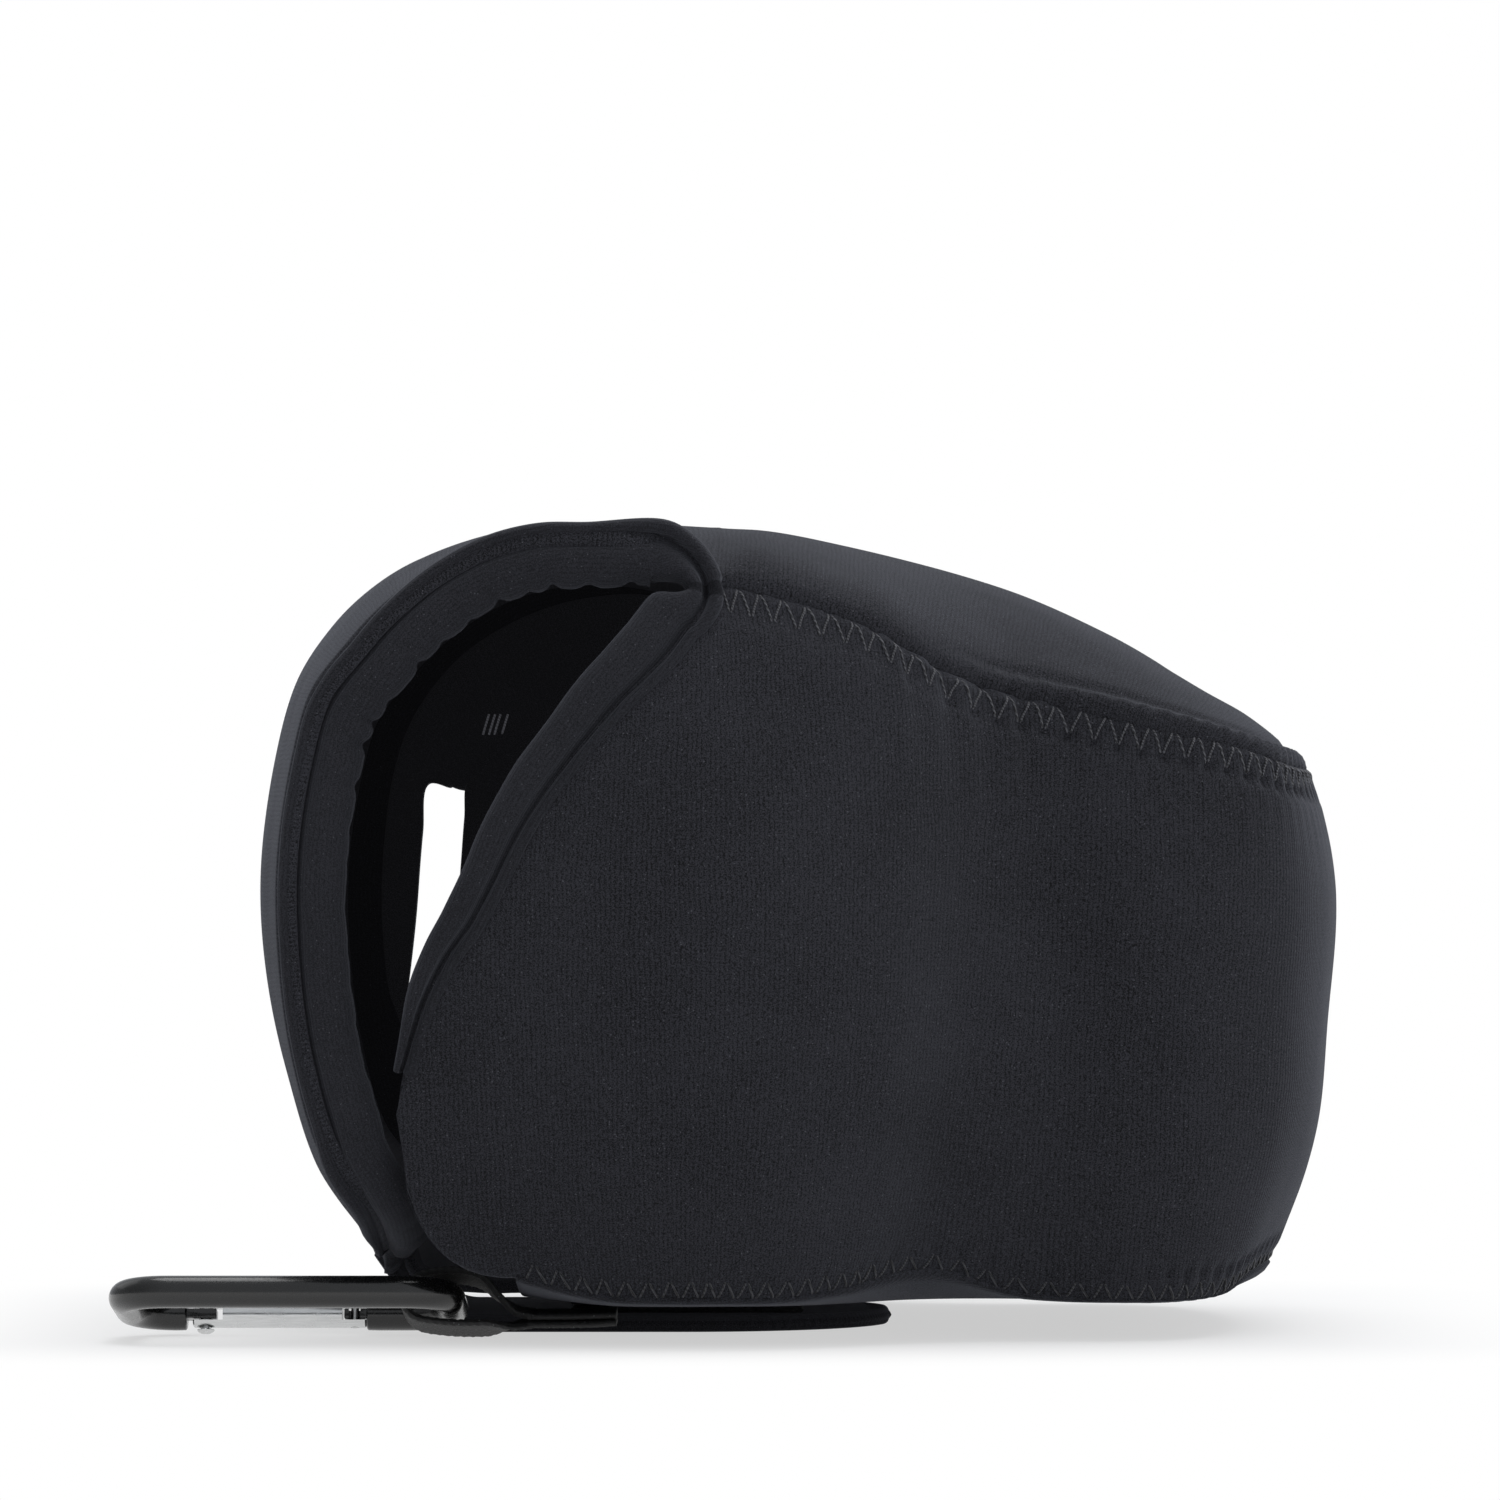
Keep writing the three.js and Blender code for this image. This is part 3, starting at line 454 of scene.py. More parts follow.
def jersey(name, level, rib=0.65, loop=0.55, ribs=1.0, specks=1.0, sheen=0.12, lift=0.0022, grain=1.0):
    """The knitted face of foam fabric: fine ribs of small loops, fuzz and a few light fibres; inner faces
    painted lighter and glowing, and every face glowing faintly by lift, which is painted light lifting the
    shade.
    """
    cool = 1.22
    n = Nodes(name)
    sideways, down = n.fabric()
    where = n.place()
    drift = n.math("MULTIPLY", n.noise(where, 0.12, 1.0), 1.6)
    across = n.math("ADD", n.math("DIVIDE", sideways, rib), drift)
    column = n.math("ABSOLUTE", n.math("SINE", n.math("MULTIPLY", across, math.pi)))
    row = n.math("SINE", n.total((n.math("DIVIDE", down, loop), 2 * math.pi), (column, 0.9)))
    knit = n.math("MULTIPLY", column, n.math("ADD", n.math("MULTIPLY", row, 0.14), 0.82))
    fuzz = n.noise(where, 6.0, 2.5, 0.68)
    tone = n.total((knit, 0.16 * ribs), (fuzz, 1.9), (n.noise(where, 0.045, 2.0), 0.25))
    dark, light = (grey(level * (1.2 + change * grain), cool) for change in (-1.05, 1.25))
    colour = n.mix(n.ramp(tone, 0.9, 1.38), dark, light)
    # painted light: inner faces (the lining attribute) are painted lighter, standing in for light that hardly
    # reaches inside the case
    inside = n.add("Attribute", attribute_name="lining").outputs["Fac"]
    colour = n.mix(n.math("MULTIPLY", inside, 0.4), colour, grey(0.045, cool))
    fibres = n.math("MULTIPLY", n.specks(where, 1.3, 0.12, 0.45), 0.5 * specks)
    look = {
        "Base Color": n.mix(fibres, colour, grey(0.13)), "Roughness": 0.92, "Specular IOR Level": 0.15,
        "Sheen Weight": sheen, "Sheen Roughness": 0.45, "Sheen Tint": (0.82, 0.86, 1.0, 1.0),
        # painted light: a faint glow of lift on every face and a stronger glow on inner faces, lifting the
        # shade
        "Emission Color": grey(0.9),
        "Emission Strength": n.math("MAXIMUM", n.math("MULTIPLY", inside, 0.0036), lift),
    }
    return n.finish(look, n.total((knit, 0.55 * ribs), (fuzz, 0.6)), 0.6, 0.12)


def thread(name, level, lift=0.0):
    """Twisted sewing thread; lift makes it glow, which is painted light."""
    n = Nodes(name)
    where = n.place()
    winding = {"Vector": where, "Scale": 1.1, "Distortion": 2.5, "Detail": 1.0}
    twist = n.add("TexWave", winding, bands_direction="DIAGONAL").outputs[1]
    tone = n.total((twist, 0.6), (n.noise(where, 9.0, 2.0), 0.5))
    look = {
        "Base Color": n.mix(n.ramp(tone, 0.35, 0.85), grey(level * 0.3), grey(level * 1.9)),
        "Roughness": 0.62, "Specular IOR Level": 0.35, "Sheen Weight": 0.2, "Emission Color": grey(1.0),
        "Emission Strength": lift,
    }
    return n.finish(look, tone, 0.5, 0.06)


def webbing_look(name, level):
    """Woven tape: a herringbone of coarse yarns with bright fibres."""
    n = Nodes(name)
    sideways, down = n.fabric()
    where = n.place()
    zigzag_row = n.math("MULTIPLY", n.math("PINGPONG", sideways, 2.2), 0.8)
    row = n.math("SINE", n.math("MULTIPLY", n.math("ADD", down, zigzag_row), 5.6))
    column = n.math("SINE", n.math("MULTIPLY", sideways, 5.0))
    tone = n.total((n.total((row, 0.5), (column, 0.25)), 0.5), (n.noise(where, 4.5, 3.0, 0.7), 1.0))
    colour = n.mix(n.ramp(tone, 0.2, 1.1), grey(level * 0.4, 1.05), grey(level * 1.9, 1.05))
    fibres = n.math("MULTIPLY", n.specks(where, 1.5, 0.17, 0.6), 0.55)
    colour = n.mix(fibres, colour, grey(0.3, 1.02))
    look = {"Base Color": colour, "Roughness": 0.6, "Specular IOR Level": 0.45}
    return n.finish(look, tone, 0.8, 0.2)


def bristle(name, level, scale):
    """The hook or the pile face of a touch fastener."""
    n = Nodes(name)
    where = n.place()
    tufts = n.add("TexVoronoi", {"Vector": where, "Scale": scale}).outputs["Distance"]
    tone = n.total((tufts, 0.8), (n.noise(where, 5.0, 3.0, 0.7), 0.5))
    colour = n.mix(n.ramp(tone, 0.2, 1.0), grey(level * 1.6, 1.03), grey(level * 0.4, 1.03))
    look = {"Base Color": colour, "Roughness": 0.85, "Sheen Weight": 0.1}
    return n.finish(look, n.math("MULTIPLY", tone, -1.0), 0.9, 0.4)


def painted_metal(name, level):
    """Gloss black coat with faint orange peel, dust and rubbed edges."""
    n = Nodes(name)
    where = n.place()
    dust = n.noise(where, 2.6, 4.0, 0.7)
    edge = n.add("NewGeometry").outputs["Pointiness"]
    worn = n.math("MULTIPLY", n.ramp(edge, 0.54, 0.6), n.ramp(dust, 0.5, 0.7))
    look = {
        "Base Color": n.mix(n.math("MULTIPLY", worn, 0.35), grey(level, 1.02), grey(0.18, 1.0)),
        "Roughness": n.ramp(dust, 0.3, 0.75, 0.16, 0.34), "Specular IOR Level": 0.5,
        "Coat Weight": 0.35, "Coat Roughness": 0.12,
    }
    return n.finish(look, n.noise(where, 0.9, 2.0), 0.12, 0.08)


def bare_metal(name, level, rough):
    """Drawn metal with fine lines along X and small smudges."""
    n = Nodes(name)
    where = n.place()
    lines = n.noise(n.vector("MULTIPLY", where, (0.25, 6.0, 6.0)), 1.2, 3.0, 0.6)
    look = {
        "Base Color": n.mix(n.ramp(lines, 0.3, 0.7), grey(level * 0.86, 1.01), grey(level, 1.01)),
        "Metallic": 1.0, "Roughness": n.ramp(n.noise(where, 0.35, 2.0), 0.3, 0.7, rough * 0.8, rough * 1.3),
    }
    return n.finish(look, lines, 0.15, 0.03)


# painted light: each jersey glows faintly by its lift, and the facings' lining_jersey glows more, lifting
# them out of the case's shade
panel_cloth = jersey("panel_jersey", 0.015)
roll_cloth = jersey("roll_jersey", 0.0148, rib=0.6, loop=0.7, ribs=0.9, specks=0.8, sheen=0.14, grain=0.6)
lining_cloth = jersey("lining_jersey", 0.02, rib=0.8, ribs=0.5, specks=0.25, sheen=0.04, lift=0.0042)
seam_thread = thread("seam_thread", 0.055)
tab_thread = thread("tab_thread", 0.022)
# painted light: a brighter copy of the thread that also glows, standing in for light on stitches deep in the
# case's shade
glowing_tack_thread = thread("glowing_tack_thread", 0.16, lift=0.035)
# painted shade: a darker copy of the seam thread for the bottom seam, which sits in shade near the floor
shaded_low_thread = thread("shaded_low_thread", 0.03)
tape = webbing_look("webbing_tape", 0.012)
hook_bristle = bristle("hook_bristle", 0.01, scale=1.6)
pile_bristle = bristle("pile_bristle", 0.014, scale=3.0)
black_coat = painted_metal("black_coat", 0.006)
silver = bare_metal("silver_metal", 0.78, rough=0.24)
steel = bare_metal("spring_steel", 0.6, rough=0.3)


# Shared lines of the shell

CLOTH_PRESSURE, CLOTH_EXCESS, CLOTH_FRAMES = 4.0, -0.012, 20
WALL_PATTERN, WALL_SWELL, COVER_PATTERN, COVER_SWELL = (68, 17), 0.5, (44, 23), 0.6
TOP_PITCH, TOP_HEIGHT = 3.25, 4.3
LOW_PITCH, LOW_HEIGHT = 3.3, 3.1

fine_k = np.linspace(0, LAST_K, 2601)
plan_run = run_along(plan(fine_k / LAST_K))


def run_of(k):
    return np.interp(k, fine_k, plan_run)


def station_of(run):
    return np.interp(run, plan_run, fine_k)


def seam_line(k):
    return wall_point(k, seam_z(k), 0)


def base_line(k):
    return wall_point(k, low_edge(k), 0)


def free_edge():
    """The shell's free rear edge on the right: the round lower corner, then the diagonal."""
    k = np.linspace(0, HINGE_K, 160)
    return np.vstack([base_line(np.linspace(CORNER_K, 0, 60)), wall_point(k, high_edge(k), 0)])


def distance_to(points, line):
    """Distance of each point from a polyline's points."""
    flat = points.reshape(-1, 3).astype(np.float32)
    line = line.astype(np.float32)
    found = [
        np.sqrt(((chunk[:, None] - line[None]) ** 2).sum(-1).min(1))
        for chunk in np.array_split(flat, max(len(flat) * len(line) // 4_000_000, 1))
    ]
    return np.concatenate(found).reshape(points.shape[:-1])


def rounded(distance, radius):
    """Drop of a rounded edge: 1 at the edge, 0 from the radius on."""
    t = 1 - np.clip(distance / radius, 0, 1)
    return 1 - np.sqrt(np.maximum(1 - t * t, 0))


def bell(x):
    return np.exp(-x * x)


RIGHT_EDGE = free_edge()
LEFT_EDGE = RIGHT_EDGE * MIRROR
TOP_KS = np.linspace(HINGE_K, 2 * FRONT_K - HINGE_K, 700)
TOP_LINE = seam_line(TOP_KS)
LOW_LINE = base_line(np.linspace(CORNER_K, 2 * FRONT_K - CORNER_K, 700))
TOP_START = float(run_of(HINGE_K)) + 1.2
LOW_START = float(run_of(CORNER_K)) + 1.0


def stitch_puckers(run, drop, start, pitch, height, depth):
    """Dimples at a zigzag's far points and soft swells between them; drop is the way from the seam."""
    phase = (run - start) / pitch
    near = np.abs((phase - 0.46 + 0.5) % 1 - 0.5) * pitch
    top = np.abs((phase + 0.5) % 1 - 0.5) * pitch
    dimple = bell(near / 0.75) * bell((drop - height) / 0.8)
    notch = bell(top / 0.7) * bell(drop / 0.9)
    swell = np.cos(2 * math.pi * (phase - 0.46)) * bell((drop - height * 0.55) / (height * 0.5))
    return depth * (dimple + 0.9 * notch + 0.36 * swell)


def cubic(values, places):
    """Values along the first axis, read between their places by a smooth curve."""
    last = len(values) - 1
    i = np.minimum(places.astype(int), last - 1)
    t = (places - i).reshape(-1, *[1] * (values.ndim - 1))
    a, b, c, d = (values[np.clip(i + shift, 0, last)] for shift in (-1, 0, 1, 2))
    return b + 0.5 * t * (c - a + t * (2 * a - 5 * b + 4 * c - d + t * (3 * (b - c) + d - a)))


def swell(outer, inner, rows, columns, calm, limit):
    """How far a panel's points move when its coarse pattern, sewn down all round, is puffed up as cloth."""
    i = np.round(np.linspace(0, outer.shape[0] - 1, rows)).astype(int)
    j = np.round(np.linspace(0, outer.shape[1] - 1, columns)).astype(int)
    rest = outer[np.ix_(i, j)]
    sides = np.cross(rest[1:, :-1] - rest[:-1, :-1], rest[:-1, 1:] - rest[:-1, :-1])
    away = (outer - inner)[np.ix_(i[:-1], j[:-1])]
    pattern = bpy.data.meshes.new("pattern")
    faces = quads(rows, columns, flip=np.sum(sides * away) < 0)
    pattern.from_pydata((rest.reshape(-1, 3) * MM).tolist(), [], faces.tolist())
    thing = bpy.data.objects.new("pattern", pattern)
    scene = bpy.context.scene
    scene.collection.objects.link(thing)
    index = np.arange(rows * columns).reshape(rows, columns)
    border = np.unique(np.concatenate([index[0], index[-1], index[:, 0], index[:, -1]]))
    thing.vertex_groups.new(name="sewn").add(border.tolist(), 1.0, "REPLACE")
    cloth = thing.modifiers.new("cloth", "CLOTH")
    cloth.settings.vertex_group_mass = "sewn"
    cloth.settings.use_pressure = True
    cloth.settings.uniform_pressure_force = CLOTH_PRESSURE
    cloth.settings.shrink_min = cloth.settings.shrink_max = CLOTH_EXCESS
    cloth.settings.effector_weights.gravity = 0
    cloth.collision_settings.use_collision = False
    cloth.point_cache.frame_start, cloth.point_cache.frame_end = 1, CLOTH_FRAMES
    for frame in range(1, CLOTH_FRAMES + 1):
        scene.frame_set(frame)
    settled = thing.evaluated_get(bpy.context.evaluated_depsgraph_get()).data
    moved = points_of(settled).reshape(rest.shape) / MM - rest
    bpy.data.objects.remove(thing)
    scene.frame_set(1)
    moved *= min(1, limit / np.linalg.norm(moved, axis=-1).max())
    moved = cubic(moved, np.interp(np.arange(outer.shape[0]), i, np.arange(rows)))
    moved = cubic(moved.swapaxes(0, 1), np.interp(np.arange(outer.shape[1]), j, np.arange(columns)))
    return moved.swapaxes(0, 1) * calm[..., None]


def wall_depth(k, z, outer):
    """How far the dressed wall's outer face lies in from the frame's wall."""
    run = run_of(k)
    top, low = distance_to(outer, TOP_LINE), distance_to(outer, LOW_LINE)
    free = np.minimum(distance_to(outer, RIGHT_EDGE), distance_to(outer, LEFT_EDGE))
    side = np.minimum(k, 2 * FRONT_K - k)
    depth = 1.35 * rounded(top, 1.5) + 1.2 * rounded(low, 1.5) + 0.9 * rounded(free, 1.1)
    depth += 0.5 * bell((top - 2.2) / 2.0) + 0.4 * bell((low - 1.6) / 1.5)
    lens = smooth((side - 5.2) / 1.6)
    depth += stitch_puckers(run, top, TOP_START, TOP_PITCH, TOP_HEIGHT, 0.34 + 0.7 * lens)
    depth += stitch_puckers(run, low, LOW_START, LOW_PITCH, LOW_HEIGHT + 1.2 * lens, 0.28 + 0.4 * lens)
    depth += 0.3 * wrinkle(run, z, 3, low=0.008, high=0.03)
    gathers = np.sin(2 * math.pi * run / 5.4 + 0.05 * z) * bell((side - 6) / 1.3) * np.exp(-top / 8)
    waves = np.cos(2 * math.pi * (run - TOP_START) / TOP_PITCH + 0.8)
    return depth + 0.45 * gathers + 0.3 * waves * lens * smooth(top / 4) * np.exp(-top / 5)


def wrap_shell():
    step = 0.85
    count = int(plan_run[-1] / step)
    k = station_of(np.linspace(0, plan_run[-1], count + 1))
    ends = np.linspace(0, 1, 15) ** 1.3 * 0.085
    v = np.concatenate([ends, np.linspace(0.085, 0.915, 62)[1:-1], 1 - ends[::-1]])
    low, high = low_edge(k)[:, None], high_edge(k)[:, None]
    z = low + (high - low) * v[None]
    kk = np.broadcast_to(k[:, None], z.shape)
    depth = wall_depth(kk, z, wall_point(kk, z, 0))
    outer = wall_point(kk, z, depth)
    short = np.minimum(1, (high - low) / 12)
    inner_z = z + (0.5 - v[None]) * 2.4 * short
    inner = wall_point(kk, inner_z, INNER_DEPTH + 0.25 * wrinkle(run_of(kk), z, 5, low=0.01, high=0.05))
    edge = np.minimum(high - z, z - low)
    calm = smooth((edge - 5) / 8) * smooth((kk - 0.3) / 2) * smooth((LAST_K - 0.3 - kk) / 2)
    moved = swell(outer, inner, *WALL_PATTERN, calm, WALL_SWELL)
    outer, inner = outer + moved, inner + moved
    uv = np.stack([run_of(kk), z], -1)
    return sheet_mesh("wrap_shell", outer, inner, panel_cloth, uv, 0.2)


# Top panel and flap as one cover

ridge_z = through([
    (-5.5, 109.8), (4, 109.2), (17, 106.8), (34, 102.1), (48, 96), (61, 89.2), (70, 84.9), (75, 79.5),
])
shoulder = through([
    (-5.5, 0), (-1, 0.36), (4, 0.32), (10, 0.26), (17, 0.24), (24, 0.2), (31, 0.12), (42, 0.08), (70, 0.08),
])
FLAP_LINE = [
    (-5.8, 109.8), (-18, 110.6), (-31, 110), (-43.2, 107.5), (-51.3, 104), (-58.2, 98.4), (-63.6, 90.5),
    (-66.6, 79.2), (-68.2, 65.4), (-67.7, 51), (-65.5, 36.5), (-61, 22.6), (-54.2, 12.6), (-51, 8),
]
flap_camber = through([
    (0, 9.1), (0.01, 7.3), (0.025, 5.6), (0.053, 3.9), (0.08, 3.1), (0.1, 2.6), (0.15, 2.2), (0.2, 2.8),
    (0.25, 4.4), (0.3, 6), (0.38, 7), (0.46, 5.8), (0.55, 5.2), (0.65, 4.7), (0.8, 4.3), (0.88, 4.2),
    (0.92, 5.1), (0.95, 5.4), (0.975, 3.4), (1, 0),
])
flap_width = through([
    (0, 59.7), (0.03, 59.4), (0.065, 60.2), (0.085, 60.5), (0.5, 60.5), (0.72, 59.5), (0.86, 57),
    (0.92, 54.3), (0.955, 47), (0.975, 36), (0.99, 25), (1, 22.5),
])
flap_fine, flap_run = even(FLAP_LINE, 0.1)
FLAP_LENGTH = flap_run[-1]


def flap_point(u, side, depth):
    """A point on the flap: u from the hinge to the fold, side from -1 to 1, some depth in."""
    u, side, depth = np.broadcast_arrays(*(np.asarray(v, float) for v in (u, side, depth)))
    at = u * FLAP_LENGTH
    x, z = np.moveaxis(read_at(at, flap_run, flap_fine), -1, 0)
    ahead = read_at(at + 0.3, flap_run, flap_fine) - read_at(at - 0.3, flap_run, flap_fine)
    tx, tz = np.moveaxis(unit(ahead), -1, 0)
    power = 2.2 + 2.4 * np.maximum(0, 1 - u / 0.1) ** 2
    inset = flap_camber(u) * np.abs(side) ** power + depth
    return np.stack([x - tz * inset, side * flap_width(u), z + tx * inset], -1)


def spanned(v, u, edge, first_k):
    """Points between the shell's edges: v from the rear line to the front, u from the right to the left."""

    def read_edge(share, first, last):
        ks = columns_from(first, last)
        return edge(np.interp(share * (len(ks) - 1), np.arange(len(ks)), ks))

    v, u = np.broadcast_arrays(v, u)
    right, corner = read_edge(v, first_k, FRONT_CORNER_K), edge(np.full(v.shape, float(FRONT_CORNER_K)))
    front = read_edge(u, FRONT_CORNER_K, 2 * FRONT_K - FRONT_CORNER_K)
    across, corners = (line + (line * MIRROR - line) * u[..., None] for line in (right, corner))
    return across + (front - corners) * v[..., None]


def top_point(v, u, depth):
    """A point on the top panel, some depth in."""

    def edge(k):
        point = wall_point(k, seam_z(k), depth)
        point[..., 2] = seam_z(k) + SEAM_GAP - depth
        point[..., 0] = np.where(k < HINGE_K + 1e-6, HINGE_X, point[..., 0])
        return point

    point = spanned(v, u, edge, HINGE_K)
    side = np.abs(2 * u - 1)
    power = 2.5 + 2.1 * np.maximum(0, 1 - v / 0.22) ** 2
    upright = shoulder(point[..., 0])
    share = (1 - (1 - upright) * side**power - upright * side**26) * (1 - v**8)
    point[..., 2] = point[..., 2] * (1 - share) + (ridge_z(point[..., 0]) - depth) * share
    return point


def push_in(points, depth):
    """The cover's grid moved in by a depth, along the normals that its rows and columns give."""
    normal = unit(np.cross(np.gradient(points, axis=0), np.gradient(points, axis=1)))
    return points + normal * depth[..., None]


def cover():
    spread = np.linspace(-1, 1, 131)
    side = np.sin(spread * math.pi / 2) * 0.25 + spread * 0.75
    v = np.linspace(1, 0, 92)
    flap_u = np.concatenate([np.linspace(0, 0.1, 22)[1:], np.linspace(0.1, 1, 125)[1:]])

    def layer(depth):
        top = top_point(v[:, None], (side[None] + 1) / 2, depth)
        return np.vstack([top, flap_point(flap_u[:, None], side[None], depth)])

    outer, inner = layer(0.0), layer(INNER_DEPTH)
    length = run_along(outer[:, len(side) // 2])[:, None]
    half = np.abs(outer[:, -1, 1])[:, None]
    width = half * side[None]
    seam = distance_to(outer, TOP_LINE + np.array([0, 0, SEAM_GAP]))
    on_flap = (np.arange(len(outer)) >= len(v))[:, None]
    edge = np.where(on_flap, half * (1 - np.abs(side))[None], 99)
    chunks = np.array_split(outer.reshape(-1, 3), 12)
    nearest = np.concatenate([((chunk[:, None] - TOP_LINE[None]) ** 2).sum(-1).argmin(1) for chunk in chunks])
    phase = (run_of(TOP_KS[nearest]).reshape(seam.shape) - TOP_START) / TOP_PITCH
    notch = bell(np.abs((phase + 0.5) % 1 - 0.5) * TOP_PITCH / 0.7) * bell(seam / 1.6)
    lens_part = smooth((outer[..., 0] - 22) / 14)
    lumps = 0.6 + 0.4 * np.cos(2 * math.pi * phase + 2.6)
    depth = 1.25 * rounded(seam, 1.6) + 0.5 * notch * (0.5 + 1.1 * lens_part)
    depth += lens_part * (0.4 * bell((seam - 3.6) / 0.9) - 0.5 * lumps * bell((seam - 1.9) / 0.9))
    depth += 0.9 * rounded(edge, 1.2) * on_flap
    depth += 0.3 * wrinkle(width, length, 11, low=0.008, high=0.028)
    outer = push_in(outer, depth)
    calm = smooth((seam - 4) / 8) * smooth((edge - 8) / 10) * smooth((length[-1] - length - 25) / 20)
    calm = calm * smooth(np.abs(outer[..., 0] - HINGE_X) / 12)
    moved = swell(outer, inner, *COVER_PATTERN, calm, COVER_SWELL)
    uv = np.stack([length + 0 * width, width], -1)
    return sheet_mesh("cover_panel", outer + moved, inner + moved, panel_cloth, uv, 0.3)


# Folded strips round the side openings

TURN = [
    (-12.8, -59.4, 106.8), (-10.4, -59.5, 105.5), (-8.3, -59.9, 103.3), (-7.0, -60.8, 100.4),
    (-7.2, -61.7, 97.8), (-9.0, -62.5, 95.0),
]


def opening_path():
    """The groove beside the right strip, from the flap's foot over the turn and down the diagonal."""
    u = np.linspace(0.982, 0.075, 126)
    depth = 1.7 + 0.7 * smooth((u - 0.15) / 0.25) - 2.6 * smooth((u - 0.86) / 0.08)
    rear = flap_point(u, -1, depth) + np.array([0, 0.5, 0])
    k = np.linspace(2.72, 0.02, 50)
    diagonal = wall_point(k, high_edge(k) - 0.3, -0.3)
    return even(np.vstack([rear[::6], TURN, diagonal[::4]]), 0.55)


def opening_frames(path):
    """The direction from the groove towards the opening and the face direction, along the path."""
    along = unit(np.gradient(path, axis=0))
    into = unit(np.stack([along[:, 2], np.zeros(len(path)), -along[:, 0]], -1))
    face = np.cross(along, into)
    face *= np.where(face[:, 1:2] > 0, -1, 1)
    for _ in range(6):
        into, face = (calmed(way) for way in (into, face))
    return into, face


def calmed(ways):
    """Directions along a path, each drawn towards its neighbours."""
    return unit(np.vstack([ways[:1], (ways[:-2] + ways[1:-1] * 2 + ways[2:]) / 4, ways[-1:]]))


def strip_profile(w, lip, lift):
    """A strip w wide as (towards the opening, outwards) points: lip, groove, then the soft roll."""
    return np.array([
        (-2.4 * lip, -1.7), (-2.5 * lip, -0.5), (-2.3 * lip, 0.2), (-1.75 * lip, 0.75 * lift),
        (-1.1 * lip, 0.8 * lift), (-0.5 * lip, 0.1), (0.0, -1.05), (0.45, -0.5),
        (0.1 * w + 0.35, 0.35 * lift), (0.25 * w, 1.1 * lift), (0.42 * w, 1.5 * lift), (0.6 * w, 1.55 * lift),
        (0.76 * w, 1.2 * lift), (0.89 * w, 0.5 * lift), (0.97 * w, -0.35), (w, -1.2), (0.95 * w, -2.1),
        (0.8 * w, -2.7), (0.55 * w, -2.95), (0.3 * w, -2.9), (0.0, -2.6), (-1.2 * lip, -2.3),
    ])


def fine_profile(points, count):
    """A number of points spread evenly round the closed line through the given ones."""
    line, _ = even(np.vstack([points, points[:1]]), 0.05)
    return read_at(np.linspace(0, len(line) - 1, count + 1)[:-1], np.arange(len(line)), line)


def strip_width(path, run):
    """Width of the roll at each point of the path."""
    turn = int(np.argmax(path[:, 0]))
    before, after = run[turn] - run, run - run[turn]
    flap_side = through([
        (0, 2.9), (2.7, 3.1), (5, 4.6), (7.4, 6), (10, 6.9), (13, 6.6), (22, 6.3), (30, 6.7), (400, 6.7),
    ])
    diagonal = through([
        (0, 2.9), (2, 4.9), (3.5, 6), (6.5, 6.7), (14, 6.4), (30, 5.4), (50, 4.4), (64, 3), (74, 1.4),
        (82, 0.6),
    ])
    foot = 0.7 + 0.3 * smooth((run - run[0]) / 5)
    return np.where(before > 0, flap_side(np.maximum(before, 0)) * foot, diagonal(np.maximum(after, 0)))


def strips(sign):
    """The two parts of a strip: the one that follows the flap and the one on the shell's diagonal."""
    path, run = opening_path()
    into, face = opening_frames(path)
    width = strip_width(path, run)
    turn = int(np.argmax(path[:, 0]))
    draw = np.random.default_rng(21 if sign < 0 else 22)
    marks = np.cumsum(draw.uniform(4.3, 6.6, 60)) - 3
    strength = draw.uniform(0.45, 1.0, 60)
    gap = np.abs(run[:, None] - marks[None])
    nearest = gap.argmin(1)
    notch = bell(gap.min(1) / 1.0) * strength[nearest]
    scallop_zone = smooth((run[turn] - 11 - run) / 4) * (0.2 + 0.8 * smooth((path[:, 2] - 62) / 22))
    wave = 0.12 * np.sin(run / 3.1) + 0.1 * np.sin(run / 1.7 + 1)
    sides = 44
    rings, uv = [], []
    for i, point in enumerate(path):
        lip = (0.9 - 0.12 * smooth((run[i] - run[turn]) / 16)) * (0.7 + 0.3 * smooth((run[i] - 2) / 8))
        section = fine_profile(strip_profile(width[i], lip, 1.0 if width[i] > 2.2 else 0.6), sides)
        share = np.clip(section[:, 0] / width[i], 0, 1)
        inner_part = smooth((share - 0.55) / 0.45)
        cut = (0.85 * notch[i] - 0.25) * scallop_zone[i] * min(width[i] / 6, 1) + wave[i] * 0.5
        across = section[:, 0] - cut * inner_part
        crease = 0.3 * notch[i] * scallop_zone[i] * smooth((share - 0.25) / 0.5)
        out = section[:, 1] - crease * (section[:, 1] > -1.0)
        rings.append(point + into[i] * across[:, None] + face[i] * out[:, None])
        uv.append(np.stack([run_along(section), np.full(sides, run[i])], -1))
    rings = np.array(rings) * np.array([1, -sign, 1])
    uv = np.array(uv)
    side = "right" if sign < 0 else "left"
    upper, lower = slice(0, turn + 2), slice(turn - 2, len(path))
    tuck = rings[lower][:4]
    tuck += (tuck.mean(1, keepdims=True) - tuck) * np.array([0.12, 0.07, 0.03, 0.01])[:, None, None]
    flap_part = tube_mesh(f"flap_roll_{side}", flip_rings(rings[upper], sign), roll_cloth, uv[upper])
    shell_part = tube_mesh(f"side_roll_{side}", flip_rings(rings[lower], sign), roll_cloth, uv[lower])
    for part in (flap_part, shell_part):
        part.data.set_sharp_from_angle(angle=math.radians(55))
    return flap_part, shell_part


